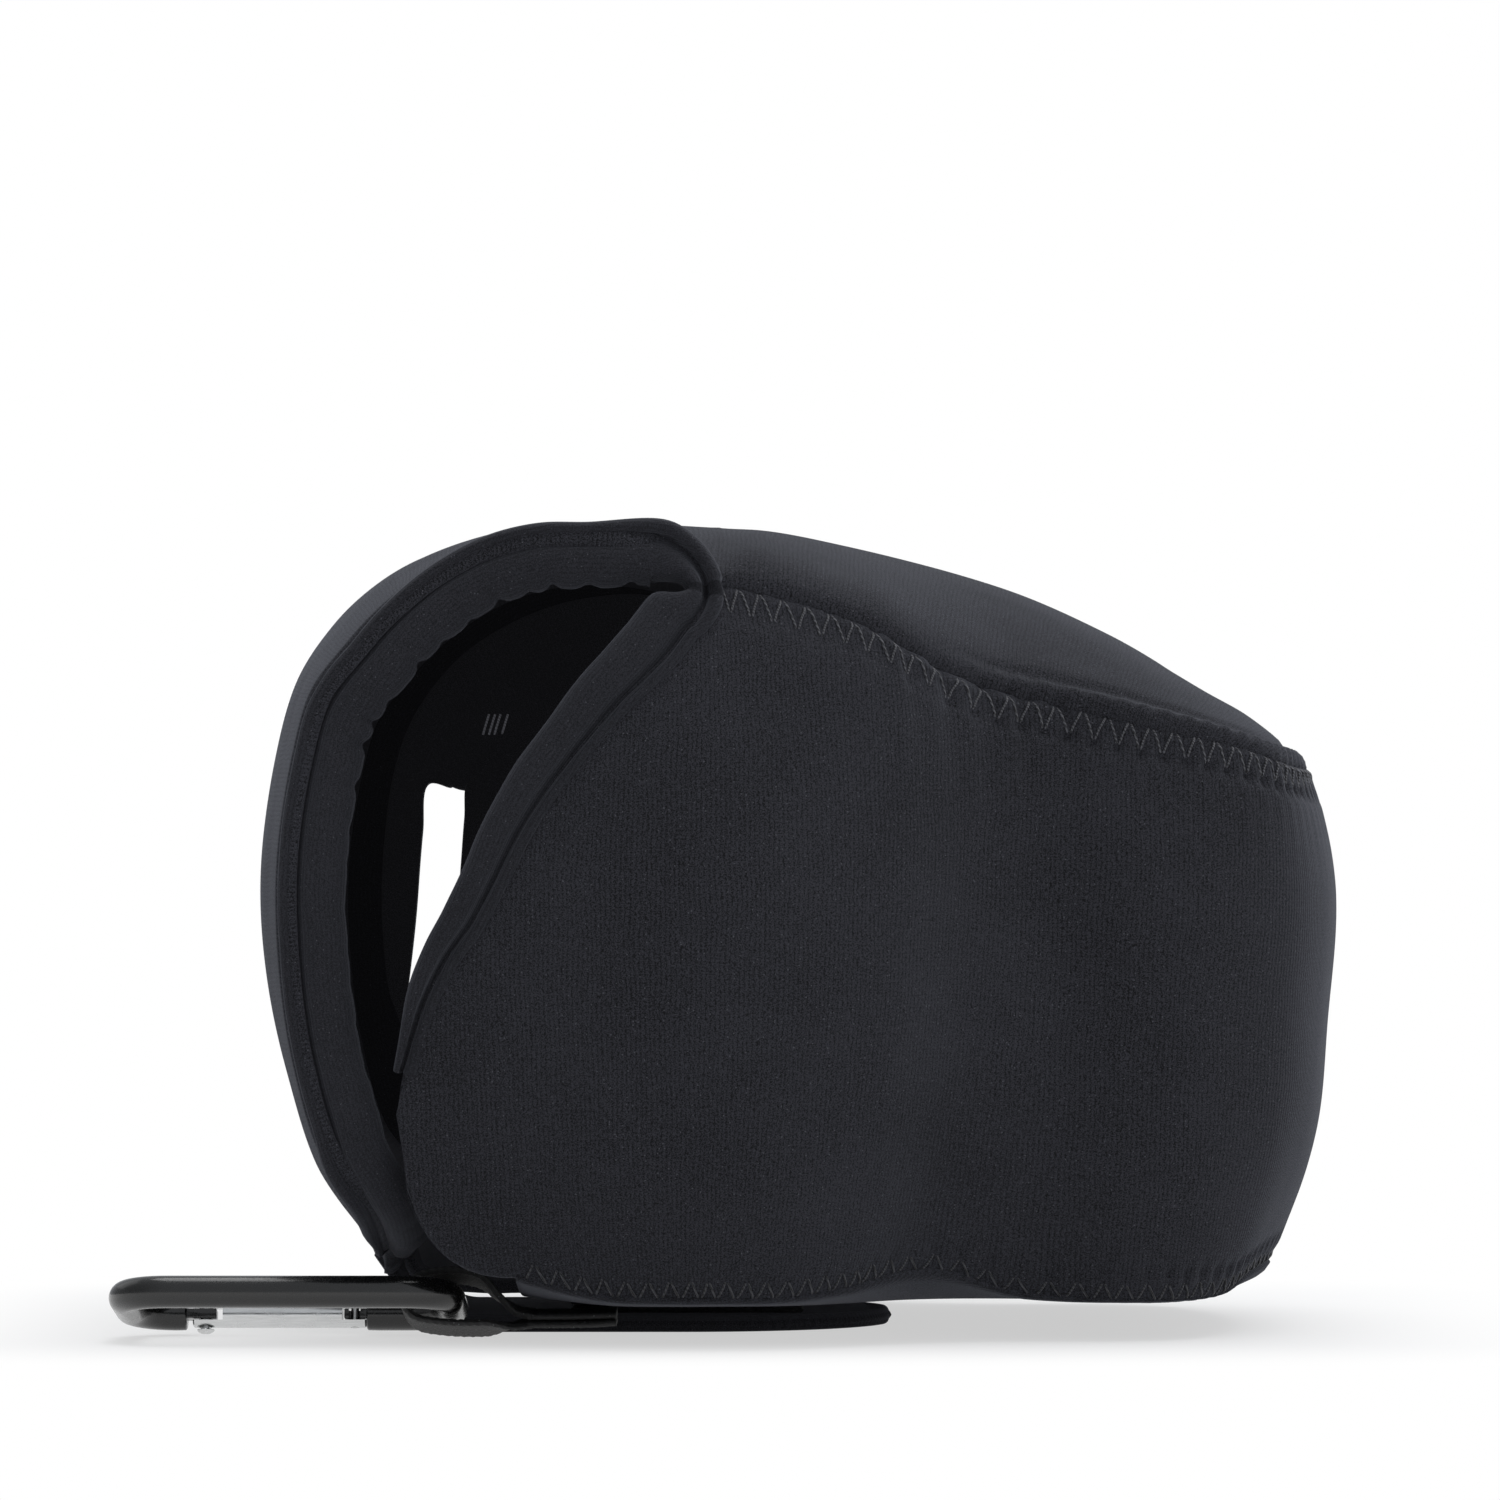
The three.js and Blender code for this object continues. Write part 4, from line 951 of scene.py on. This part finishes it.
# The facings' sewn and free points in pairs, each as (x, height)
FLAP_FACING = [
    ((-10.5, 102.0), (-9.6, 100.4)), ((-17, 104.2), (-14, 96.6)), ((-24, 104), (-19.5, 91)),
    ((-31, 102.5), (-25, 85)), ((-38, 99.5), (-31, 79.4)), ((-44, 95.5), (-37, 79.2)),
    ((-49, 90), (-41, 76.5)), ((-52.5, 84), (-45, 75.6)), ((-54.6, 77), (-49.2, 76)),
    ((-55.6, 70), (-50, 69)), ((-56.2, 60), (-50.9, 58)), ((-55.6, 48), (-51.9, 48)), ((-54, 40), (-53, 40)),
]
SHELL_FACING = [
    ((-44.6, 48), (-45.8, 49)), ((-41.5, 57), (-44.9, 57)), ((-38, 63), (-44.3, 64)),
    ((-34.5, 69), (-43.8, 71)), ((-31, 74.5), (-43.2, 77)), ((-27, 80), (-38, 80.4)),
    ((-22.5, 85.5), (-29, 86)),
]


def facing(name, pairs, sewn_y, free_y, scalloped, seed):
    """A soft inner facing on the left: a sheet from its sewn edge to its free edge, which sags in waves."""
    t = np.linspace(0, 1, 150)[:, None]
    w = (np.linspace(0, 1, 34) ** 0.85)[None]
    sewn, free = catmull([p[0] for p in pairs])(t), catmull([p[1] for p in pairs])(t)
    point = sewn + (free - sewn) * w[..., None]
    run = run_along(free[:, 0])[:, None]
    low, high = scalloped
    zone = smooth((t - low) / 0.08) * smooth((high - t) / 0.06)
    scallop = np.abs(np.sin(math.pi * run / 5.2 + 0.6)) ** 0.7 * zone * w**4
    point = point + unit(free - sewn) * (scallop * 0.9)[..., None]
    fold = 0.5 * np.sin(run / 3.4) * w + 0.4 * wrinkle(point[..., 0], point[..., 1], seed)
    y = sewn_y + (free_y - sewn_y) * w + fold * (0.3 + 0.7 * w) + 0 * t
    border = np.minimum(np.minimum(w, 1 - w) * 12, np.minimum(t, 1 - t) * 60)
    thin = 0.7 * rounded(border, 0.9)

    def face(shift):
        return np.stack([point[..., 0], y + shift, point[..., 1]], -1)

    uv = np.stack([run + 0 * w, w * 20 + 0 * run], -1)
    return sheet_mesh(name, face(-1.0 + thin), face(1.0 - thin), lining_cloth, uv, 0.15)


def bar_tack():
    """Four short stitches that hold the flap's facing."""
    legs = []
    for x in (-40.2, -39.3, -38.5, -37.4):
        t = np.linspace(0, 1, 9)
        path = np.stack([x - 0.9 * t, 55.35 - 0.25 * np.sin(math.pi * t), 86.4 - 3.0 * t], -1)
        legs.append(tube_mesh("tack", strand(path, np.array([0, -1.0, 0]), 0.17, 7), glowing_tack_thread))
    return join(legs, "facing_bar_tack")


def flip_rings(rings, sign):
    """Rings in the order that turns a tube's faces outwards on the given side."""
    return rings[:, ::-1] if sign < 0 else rings


# Underside, tab and patches


def bottom_point(v, u, depth):
    """A point on the bottom panel, some depth in."""

    def edge(k):
        point = wall_point(k, low_edge(k), depth)
        point[..., 2] = low_edge(k) - SEAM_GAP + depth
        return point

    point = spanned(v, u, edge, CORNER_K)
    power = 4 - 1.8 * np.maximum(0, 1 - v / 0.15)
    share = (1 - np.abs(2 * u - 1) ** power) * (1 - v**8)
    point[..., 2] = point[..., 2] * (1 - share) + (UNDERSIDE_Z + depth) * share
    return point


def bottom_shell():
    v, u = np.linspace(0, 1, 90)[:, None], np.linspace(0, 1, 110)[None]
    outer, inner = bottom_point(v, u, 0.0), bottom_point(v, u, INNER_DEPTH)
    seam = distance_to(outer, LOW_LINE)
    depth = 1.1 * rounded(seam, 1.6) + 0.15 * wrinkle(outer[..., 0], outer[..., 1], 31, low=0.01, high=0.04)
    outer = outer + np.array([0, 0, 1]) * depth[..., None]
    uv = np.stack([outer[..., 1], outer[..., 0]], -1)
    return sheet_mesh("bottom_shell", outer, inner, panel_cloth, uv, 0.2)


HEM_THICKNESS = 2.4
HEM_LINE = [(-31, 5.4), (-38, 5.5), (-44, 6), (-47.6, 7.8), (-48.8, 10.5), (-49.6, 14.5)]


def rear_hem():
    """The underside's hem across the rear opening: it turns up in front of the flap's foot."""
    t, side = np.linspace(0, 1, 26), np.linspace(-1, 1, 70)
    fine, run = even([(x, 0, z) for x, z in HEM_LINE], 0.1)
    line = read_at(t * run[-1], run, fine)
    along = unit(np.gradient(line, axis=0))
    inward = np.stack([along[:, 2], 0 * t, -along[:, 0]], -1)
    point = line[:, None] + np.array([0, HEM_HALF, 0]) * side[None, :, None]
    rim = np.minimum(((1 - t) * run[-1])[:, None], (HEM_HALF * (1 - np.abs(side)))[None])
    drop = 0.9 * rounded(rim, 1.2) + 0.25 * wrinkle(point[..., 0], point[..., 1], 33) * smooth(rim / 3)
    uv = np.stack([point[..., 1], (t * run[-1])[:, None] + 0 * side], -1)
    outer = point + inward[:, None] * drop[..., None]
    inner = point + inward[:, None] * (HEM_THICKNESS - 0.6 * rounded(rim, 1.2))[..., None]
    return sheet_mesh("bottom_rear_hem", outer, inner, panel_cloth, uv, 0.2)


def tab_rows():
    """Points, inward directions, half widths and run along the tab's outer face."""
    tip, before = flap_point(1.0, 0, 0), flap_point(0.995, 0, 0)
    along = unit(tip - before)
    a = tip - along * 3.0
    b = tip + along * 0.3
    c = b + along * 5
    d, e = np.array([TAB_FLAT_X - 5, 0, 0]), np.array([TAB_FLAT_X, 0, 0])
    t = np.linspace(0, 1, 26)[:, None]
    curve = b * (1 - t) ** 3 + 3 * c * t * (1 - t) ** 2 + 3 * d * t * t * (1 - t) + e * t**3
    lead = a + (b - a) * np.linspace(0, 1, 5)[:-1, None]
    taper = np.linspace(0, math.pi / 2, 46)[1:]
    taper_x = TAB_FRONT_X - TAB_TAPER
    level_x = np.linspace(TAB_FLAT_X, taper_x, 24)[1:]
    flat_x = np.concatenate([level_x, TAB_FRONT_X - TAB_TAPER * (1 - np.sin(taper))])
    line = np.vstack([lead, curve, np.stack([flat_x, 0 * flat_x, 0 * flat_x], -1)])
    bend = np.clip((line[:, 0] - taper_x) / TAB_TAPER, 0, 0.998)
    half = TAB_HALF * np.sqrt(1 - bend * bend)
    direction = unit(np.gradient(line, axis=0))
    inward = np.stack([-direction[:, 2], np.zeros(len(line)), direction[:, 0]], -1)
    return line, inward, half, run_along(line)


def tab_sheet():
    line, inward, half, run = tab_rows()
    side = np.sin(np.linspace(-1, 1, 61) * math.pi / 2)
    edge = half[:, None] * (1 - np.abs(side))[None]
    end = (run[-1] - run)[:, None]
    rim = np.minimum(edge, end + 0 * edge)
    drop = 0.6 * rounded(rim, 0.9) + 0.3 * bell((rim - 2.6) / 0.6)

    def face(depth):
        return line[:, None] + inward[:, None] * depth[..., None] + np.stack(
            [0 * edge, half[:, None] * side[None], 0 * edge], -1
        )

    thick = np.where(run < 3.2, TAB_THICKNESS - 0.7 * (1 - run / 3.2), TAB_THICKNESS)[:, None]
    uv = np.stack([half[:, None] * side[None], run[:, None] + 0 * edge], -1)
    return sheet_mesh("closure_tab_soft", face(drop), face(thick - drop), panel_cloth, uv, 0.35)


def tab_stitches():
    """Straight stitching along the tab's border, seen on its underside."""
    line, inward, half, run = tab_rows()
    keep = run > 6
    right = line[keep] + np.stack([0 * half, -(half - 2.6), 0 * half], -1)[keep]
    right = right[right[:, 1] < -3]
    left = (right * MIRROR)[::-1]
    path, distance = even(np.vstack([right, left]), 0.35)
    down = np.array([0, 0, -1.0])
    return dashes("tab_stitching", path, distance, down, pitch=2.4, radius=0.17, proud=-0.2)


def dashes(name, path, run, out, pitch, radius, proud):
    """Separate straight stitches that dip into the cloth at both ends."""
    out = np.broadcast_to(out, path.shape)
    verts, faces, start, sides = [], [], 0, 6
    for i in range(int(run[-1] / pitch)):
        at = np.linspace(i * pitch + 0.18 * pitch, i * pitch + 0.86 * pitch, 7)
        centre, lift = read_at(at, run, path), read_at(at, run, out)
        dip = proud - (np.abs(np.linspace(-1, 1, 7)) ** 4) * 2.4 * radius
        rings = strand(centre + lift * dip[:, None], lift[3], radius, sides)
        verts.append(rings.reshape(-1, 3))
        faces.append(quads(7, sides, wrap=True, offset=start))
        faces.append(np.array([[start + j for j in (0, 1, 2, 3)], [start + j for j in (0, 3, 4, 5)]]))
        top = start + 36
        faces.append(np.array([[top + j for j in (3, 2, 1, 0)], [top + j for j in (5, 4, 3, 0)]]))
        start += 7 * sides
    return link(name, np.vstack(verts), np.vstack(faces), tab_thread)


def patch(name, low, material, up):
    """A fastener patch: a thin rounded sheet whose face has rows of small tufts."""
    x = np.linspace(PATCH_START_X, PATCH_END_X, 84)
    y = np.linspace(-PATCH_HALF, PATCH_HALF, 80)
    xx, yy = np.meshgrid(x, y, indexing="ij")
    rim = np.minimum(np.minimum(xx - PATCH_START_X, PATCH_END_X - xx), PATCH_HALF - np.abs(yy))
    tuft = 0.12 * np.sin(xx * 4.2) * np.sin(yy * 4.2) * smooth(rim / 1.5)
    drop = 0.3 * rounded(rim, 0.6) + 0.12 * bell((rim - 1.6) / 0.4)
    high = low + PATCH_THICKNESS
    top = high - drop + (tuft if up else 0)
    bottom = low + drop - (0 if up else tuft)
    upper, lower = np.stack([xx, yy, top], -1), np.stack([xx, yy, bottom], -1)
    return sheet_mesh(name, upper, lower, material, np.stack([xx, yy], -1), 0.05)


# Webbing

LOOP_LINE = [
    (-30.3, 2.35), (-36, 1.7), (-42.5, 1.8), (-46.4, 2.7), (-47.7, 5), (-45.8, 7.8), (-41.5, 8.7), (-37.4, 8),
    (-34.8, 5.7), (-32.6, 4), (-30.3, 3.55),
]


def band_section():
    """The tape's section: flat faces and beaded edges."""
    a = np.linspace(-1, 1, 22)
    spread = np.sin(a * math.pi / 2) * 0.3 + a * 0.7
    bead = 1 + 0.12 * bell((np.abs(a) - 0.94) / 0.05)
    height = WEBBING_THICKNESS / 2 * np.sqrt(np.maximum(1 - np.abs(a) ** 14, 0)) * bead
    top = np.stack([spread * WEBBING_WIDTH / 2, height], -1)
    return np.vstack([top, (top * np.array([1, -1]))[::-1][1:-1]])


def webbing(name, line):
    """Tape along a line of (x, height) points, level at its root and tilted like the hook's bar."""
    path, run = even([(x, WEBBING_Y, z) for x, z in line], 0.4)
    lift = unit(np.cross(unit(np.gradient(path, axis=0)), np.array([0, 1.0, 0])))
    section = band_section()
    rings = []
    for i, point in enumerate(path):
        yarn = 0.05 * np.sin(run[i] * 5.6 + np.abs((section[:, 0] % 4.4) - 2.2) * 3.0)
        up = section[:, 1] + np.sign(section[:, 1]) * yarn
        out = section[:, 0] + 0.1 * np.sin(run[i] * 4.4) * (np.abs(section[:, 0]) > WEBBING_WIDTH * 0.47)
        slope = math.tan(HOOK_TILT) * smooth((-32 - point[0]) / 5)
        rings.append(point + out[:, None] * np.array([0, 1, -slope]) + lift[i] * up[:, None])
    uv = np.stack(np.broadcast_arrays(np.linspace(0, 2 * WEBBING_WIDTH, len(section)), run[:, None]), -1)
    return tube_mesh(name, np.array(rings)[:, ::-1], tape, uv[:, ::-1])


# Snap hook, in its own frame: middle at the origin, end bar at +X, gate at +Y

RAIL_Y, BAR_X = (HOOK_WIDTH - HOOK_ROD) / 2, (HOOK_LENGTH - HOOK_ROD) / 2
RIVET_X = -HOOK_LENGTH / 2 + 11.8
GATE_START_X, GATE_ROD, GATE_LENGTH = RIVET_X - 1.7, 3.6, 23.5
GATE_END_X = GATE_START_X + GATE_LENGTH
NOSE_X, PIN_X = GATE_END_X + 0.25, GATE_END_X - 1.6
STUB_X = RIVET_X - math.hypot(1.7, 1.8) - 0.25
BORE_START_X = RIVET_X + math.hypot(3, 3) / 2 + 0.25
PIN_DIAMETER, TONGUE_THICKNESS, GATE_SLOT = 1.1, 1.3, 1.8
TONGUE_HOLE, RIVET_HOLE, PIN_HOLE, SPRING_BORE = 2.0, 1.9, 1.2, 2.0
SPRING_TURNS, SPRING_LENGTH, SPRING_RADIUS, SPRING_WIRE = 17, 13.2, 0.66, 0.16


def hook_place(points):
    """Points of the hook's own frame in the row frame."""
    p = np.asarray(points, float)
    cos, sin = math.cos(-HOOK_TILT), math.sin(-HOOK_TILT)
    y, z = p[..., 1] * cos - p[..., 2] * sin, p[..., 1] * sin + p[..., 2] * cos
    return np.stack([p[..., 0] + HOOK_END_X - HOOK_LENGTH / 2, y + WEBBING_Y, z + HOOK_MIDDLE_Z], -1)


def block(start, end, depth, height, shift=0.0, bevel=0.12):
    """A box on the gate's rail, with bevelled edges unless the bevel is 0."""
    bpy.ops.mesh.primitive_cube_add(size=1)
    thing = bpy.context.object
    thing.data.transform(Matrix.Diagonal(((end - start) * MM, depth * MM, height * MM, 1)))
    thing.data.transform(Matrix.Translation(((start + end) / 2 * MM, (RAIL_Y + shift) * MM, 0)))
    if bevel:
        modify(thing, "BEVEL", width=bevel * MM, segments=2)
    return thing


def modify(thing, kind, **settings):
    """Adds a modifier to an object and bakes it into the mesh."""
    modifier = thing.modifiers.new(kind.lower(), kind)
    for key, value in settings.items():
        setattr(modifier, key, value)
    graph = bpy.context.evaluated_depsgraph_get()
    mesh = bpy.data.meshes.new_from_object(thing.evaluated_get(graph))
    thing.modifiers.clear()
    thing.data = mesh
    return thing


def cut(thing, cutters, operation="DIFFERENCE"):
    """Cuts pieces out of an object, or joins them to it, and drops them."""
    for cutter in cutters:
        modify(thing, "BOOLEAN", object=cutter, operation=operation, solver="EXACT")
        bpy.data.objects.remove(cutter)
    return thing


def rail_rod(start, end, diameter, sides, stands_at=None, material=None):
    """A closed round rod that lies along the gate's rail, or stands across it at the given place."""
    radius = diameter / 2
    soft = min(radius * 0.18, 0.2)
    rings = []
    for x, r in (
        (start, radius * 0.5), (start, radius - soft), (start + soft, radius),
        (end - soft, radius), (end, radius - soft), (end, radius * 0.5),
    ):
        a, b, along = np.cos(turn_angles(sides)) * r, np.sin(turn_angles(sides)) * r, np.full(sides, x)
        if stands_at is None:
            rings.append(np.stack([along, RAIL_Y + a, b], -1))
        else:
            rings.append(np.stack([a + stands_at, RAIL_Y + b, along], -1))
    return tube_mesh("rod", rings, material or silver)


def hook_line():
    """The rod's middle line, from the tongue's end round three sides to the nose's end."""
    points = [(STUB_X, RAIL_Y)]
    cx, cy = BAR_X - HOOK_CORNER, RAIL_Y - HOOK_CORNER
    for x, y, first in ((-cx, cy, 0.5), (-cx, -cy, 1.0), (cx, -cy, 1.5), (cx, cy, 2.0)):
        for i in range(17):
            angle = (first + i / 32) * math.pi
            points.append((x + HOOK_CORNER * math.cos(angle), y + HOOK_CORNER * math.sin(angle)))
    points.append((NOSE_X, RAIL_Y))
    return np.array([(x, y, 0) for x, y in points])


def hook_pieces():
    """The hook's body, gate, rivet, latch pin and spring, put in place and dressed."""
    line = hook_line()
    dense = []
    for a, b in zip(line, line[1:]):
        steps = max(int(np.linalg.norm(b - a) / 1.2), 1)
        dense += [a + (b - a) * i / steps for i in range(steps)]
    dense = np.array(dense + [line[-1]])
    sides = 36
    rings = strand(dense, np.array([0, 0, 1.0]), HOOK_ROD / 2, sides)
    centre = dense[:, None]
    ends = []
    for index, way in ((0, -1), (-1, 1)):
        along = unit(dense[index] - dense[index - way])
        for share, push in ((0.985, 0.0), (0.93, 0.14), (0.84, 0.22)):
            ends.append(centre[index] + (rings[index] - centre[index]) * share + along * push)
    rings = np.vstack([np.array(ends[2::-1]), rings[1:-1], np.array(ends[3:])])
    body = tube_mesh("hook_rod", rings, black_coat)
    tongue = block(STUB_X - 1, RIVET_X + 1.5, 3.0, TONGUE_THICKNESS)
    blade = block(GATE_END_X - 3, NOSE_X + 1, 2.8, TONGUE_THICKNESS)
    cut(tongue, [rail_rod(-3, 3, TONGUE_HOLE, 20, RIVET_X)])
    half = PIN_DIAMETER / 2 + 0.25
    cut(blade, [block(PIN_X - half, PIN_X + half, 2.8, 4, half - 1.4, 0)])
    cut(body, [tongue, blade], "UNION")
    gate = rail_rod(GATE_START_X, GATE_END_X, GATE_ROD, 36)
    cut(gate, [
        block(GATE_START_X - 1, BORE_START_X, 5, GATE_SLOT, bevel=0),
        block(GATE_END_X - 3.25, GATE_END_X + 1, 5, GATE_SLOT, bevel=0),
        rail_rod(-3, 3, RIVET_HOLE, 20, RIVET_X),
        rail_rod(-3, 3, PIN_HOLE, 20, PIN_X),
        rail_rod(BORE_START_X - 0.25, BORE_START_X + 14, SPRING_BORE, 20),
    ])
    rivet_profile = [(0.05, 2.05 + 0.6), (0.6, 2.6), (1.0, 2.4), (1.2, 2.15), (1.15, 2.05), (0.75, 2.02)]
    angle = turn_angles(28)
    rivet = tube_mesh("rivet", [
        np.stack([RIVET_X + np.cos(angle) * r, RAIL_Y + np.sin(angle) * r, np.full(28, z)], -1)
        for r, z in [(r, -z) for r, z in rivet_profile] + rivet_profile[::-1]
    ], silver)
    pin = rail_rod(-1.8, 1.8, PIN_DIAMETER, 20, PIN_X, steel)
    turns = np.linspace(0, 1, 520)
    around = turns * 2 * math.pi * SPRING_TURNS
    coil = np.stack([
        BORE_START_X + 0.3 + turns * SPRING_LENGTH,
        RAIL_Y + SPRING_RADIUS * np.cos(around), SPRING_RADIUS * np.sin(around),
    ], -1)
    spring = tube_mesh("spring", strand(coil, np.array([1.0, 0.01, 0.02]), SPRING_WIRE, 8), steel)
    named = (
        (body, "hook_frame", "hook_body", "hook", "black_metal", black_coat),
        (gate, "hook_gate_tube", "hook_gate", "gate", "silver_metal", silver),
        (rivet, "hook_rivet", "gate_rivet", "hook", "silver_metal", silver),
        (pin, "hook_latch_pin", "latch_pin", "gate", "spring_steel", steel),
        (spring, "hook_coil_spring", "gate_spring", "gate", "spring_steel", steel),
    )
    for thing, name, node, carrier, slot, material in named:
        mesh = thing.data
        mesh.vertices.foreach_set("co", (hook_place(points_of(mesh) / MM) * MM).ravel())
        mesh.materials.clear()
        mesh.materials.append(material)
        mesh.polygons.foreach_set("use_smooth", [True] * len(mesh.polygons))
        mesh.set_sharp_from_angle(angle=math.radians(38))
        mesh.update()
        thing.name = mesh.name = name
        dress(thing, carrier, slot, node)


# Threads

ZIGZAG_RADIUS = 0.14


def zigzag(name, first_k, start, pitch, height, line_z, up, seed, material):
    """One thread that zigzags along a seam, the same way in from both ends, and dips in at each point."""
    last_k = LAST_K - first_k
    draw = np.random.default_rng(seed)
    first, last = float(run_of(first_k)), float(run_of(last_k))
    pieces, i = [], 0
    while start + (i + 1) * pitch < last:
        base = start + i * pitch
        wobble = draw.uniform(-0.14, 0.14, 3)
        if base > first:
            a = (base + wobble[0], 0.1)
            b = (base + 0.46 * pitch + wobble[1], height + wobble[2])
            c = (base + pitch, 0.1)
            pieces.append(leg(a, b, 0.05))
            pieces.append(leg((b[0] + 0.2, b[1] - 0.1), c, -0.045))
        i += 1
    legs = []
    for t, run, fall in pieces:
        k = station_of(run)
        z = line_z(k) - up * fall
        outer = wall_point(k, z, 0)
        dip = np.abs(2 * t - 1) ** 5
        centre = wall_point(k, z, wall_depth(k, z, outer) - ZIGZAG_RADIUS + 0.75 * dip)
        out = outer - wall_point(k, z, 1.0)
        legs.append(tube_mesh("leg", strand(centre, out, ZIGZAG_RADIUS, 7), material))
    return join(legs, name)


def leg(a, b, bow):
    """One leg of a zigzag between two (run, fall) points, bowed sideways."""
    t = np.linspace(0, 1, 12)
    run = a[0] + (b[0] - a[0]) * t
    fall = a[1] + (b[1] - a[1]) * t
    run = run + bow * 4 * t * (1 - t) * abs(b[1] - a[1])
    return t, run, fall


def dress(thing, body, slot, *nodes):
    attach(thing, body)
    if nodes:
        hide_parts(*nodes)
    return thing


# Camera first, then the pieces

camera = bpy.data.objects.new("camera", bpy.data.cameras.new("camera"))
bpy.context.scene.collection.objects.link(camera)
bpy.context.scene.camera = camera
camera.data.sensor_width = 36
camera.data.lens = 36 * FOCAL / PHOTO
camera.location = (0, EYE_Y * MM, EYE_Z * MM)
pitch, yaw = (math.atan((place - PHOTO / 2) / FOCAL) for place in (HORIZON_ROW, MIDDLE_COLUMN))
camera.rotation_euler = (math.pi / 2 + pitch, 0, yaw)
camera.data.clip_start, camera.data.clip_end = 0.05, 20

shell = wrap_shell()
dress(shell, "shell", "fabric_black", "wrap_panel")
cover_piece = cover()
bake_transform(cover_piece)
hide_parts("top_panel", "rear_flap")
bottom = bottom_shell()
dress(bottom, "shell", "fabric_black", "bottom_panel")
hem = rear_hem()
dress(hem, "shell", "fabric_black")
for sign, side in ((-1, "right"), (1, "left")):
    flap_part, shell_part = strips(sign)
    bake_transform(flap_part)
    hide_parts(f"flap_strip_{side}")
    dress(shell_part, "shell", "strip_black", f"side_strip_{side}")

flap_facing = facing(
    "flap_facing_left", FLAP_FACING, sewn_y=57.0, free_y=56.4, scalloped=(0.33, 0.66), seed=61,
)
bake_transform(flap_facing)
shell_facing = facing("shell_facing_left", SHELL_FACING, sewn_y=58.2, free_y=54.0, scalloped=(2, 2), seed=62)
dress(shell_facing, "shell", "fabric_black")
dress(bar_tack(), "flap", "thread_grey")

tab = tab_sheet()
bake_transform(tab)
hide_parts("closure_tab")
dress(tab_stitches(), "tab", "thread_grey")
dress(patch("hook_patch_face", 2.2, hook_bristle, up=True), "tab", "patch_black", "hook_patch")
dress(patch("pile_patch_face", 3.25, pile_bristle, up=False), "shell", "patch_black", "pile_patch")

loop = webbing("webbing_loop_tape", LOOP_LINE)
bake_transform(loop)
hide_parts("webbing_loop")
root = join([
    webbing("upper", [(-31, 3.5), (-27, 3.5), (-22, 3.6), (-19.2, 3.7)]),
    webbing("lower", [(-31, 2.4), (-27, 2.4), (-22, 2.5), (-19.2, 2.7)]),
], "webbing_root_tape")
dress(root, "shell", "webbing_black", "webbing_root")
hook_pieces()

top_zigzag = zigzag("top_zigzag", 3.03, TOP_START, TOP_PITCH, TOP_HEIGHT - 0.2, seam_z, 1, 41, seam_thread)
dress(top_zigzag, "shell", "thread_grey", "top_seam_thread")
low_zigzag = zigzag("low_zigzag", 1.05, LOW_START, LOW_PITCH, LOW_HEIGHT - 0.2, low_edge, -1, 42, shaded_low_thread)
dress(low_zigzag, "shell", "thread_grey", "bottom_seam_thread")

# Floor, light and view


def floor_look():
    """A pale floor that fades to white away from the object, for the camera and in reflections."""
    n = Nodes("floor")
    where = n.place()
    middle = n.vector("ABSOLUTE", n.vector("SUBTRACT", where, (-4.0, 8.0, 0.0)))
    outside = n.vector("MAXIMUM", n.vector("SUBTRACT", middle, (74.0, 48.0, 0.0)), (0.0, 0.0, 0.0))
    far = n.add("VectorMath", {0: outside}, operation="LENGTH").outputs["Value"]
    paint = n.add("BsdfDiffuse", {"Color": (0.86, 0.86, 0.865, 1)})
    glow = n.add("Emission", {"Color": (1, 1, 1, 1), "Strength": 1.0})
    path = n.add("LightPath")
    seen = n.math("MAXIMUM", path.outputs["Is Camera Ray"], path.outputs["Is Glossy Ray"])
    share = n.math("MULTIPLY", n.ramp(far, 0, 50, 0.58, 1.0), seen)
    n.feed(n.out.inputs["Surface"], n.add("MixShader", {0: share, 1: paint, 2: glow}))
    return n.owner


FLOOR_HALF = 4000
floor_corners = [(x * FLOOR_HALF, y * FLOOR_HALF, 0) for x, y in ((-1, -1), (1, -1), (1, 1), (-1, 1))]
floor = link("floor", floor_corners, [(0, 1, 2, 3)], floor_look())


def studio():
    """A world that lights softly from all round, less from the left, and that the camera sees as white."""
    world = bpy.data.worlds.new("studio")
    bpy.context.scene.world = world
    n = Nodes("studio", world)
    way = n.add("SeparateXYZ", {0: n.add("TexCoord").outputs["Generated"]})
    sideways = n.add("MapRange", {0: way.outputs["X"], 1: -0.9, 2: 0.1, 3: 0.3, 4: 0.64})
    lit = n.add("Background", {"Color": (0.93, 0.96, 1.0, 1), "Strength": sideways})
    seen = n.add("Background", {"Color": (1, 1, 1, 1), "Strength": 1.0})
    ray = n.add("LightPath")
    either = n.math("MAXIMUM", ray.outputs["Is Camera Ray"], ray.outputs["Is Transmission Ray"])
    n.feed(n.out.inputs["Surface"], n.add("MixShader", {0: either, 1: lit, 2: seen}))


studio()


def area_light(name, place, width, height, power):
    """A soft light in metres and watts, turned to the case."""
    data = bpy.data.lights.new(name, "AREA")
    data.shape, data.size, data.size_y, data.energy = "RECTANGLE", width, height, power
    lamp = bpy.data.objects.new(name, data)
    bpy.context.scene.collection.objects.link(lamp)
    lamp.location = place
    lamp.rotation_euler = (Vector((0, 0, 0.05)) - Vector(place)).to_track_quat("-Z", "Y").to_euler()


area_light("overhead", (0.22, 0.15, 1.1), width=1.2, height=1.0, power=9.0)
area_light("rear_left", (-0.9, 0.5, 0.7), width=0.7, height=0.7, power=0.6)
bpy.context.scene.view_settings.view_transform = "Standard"
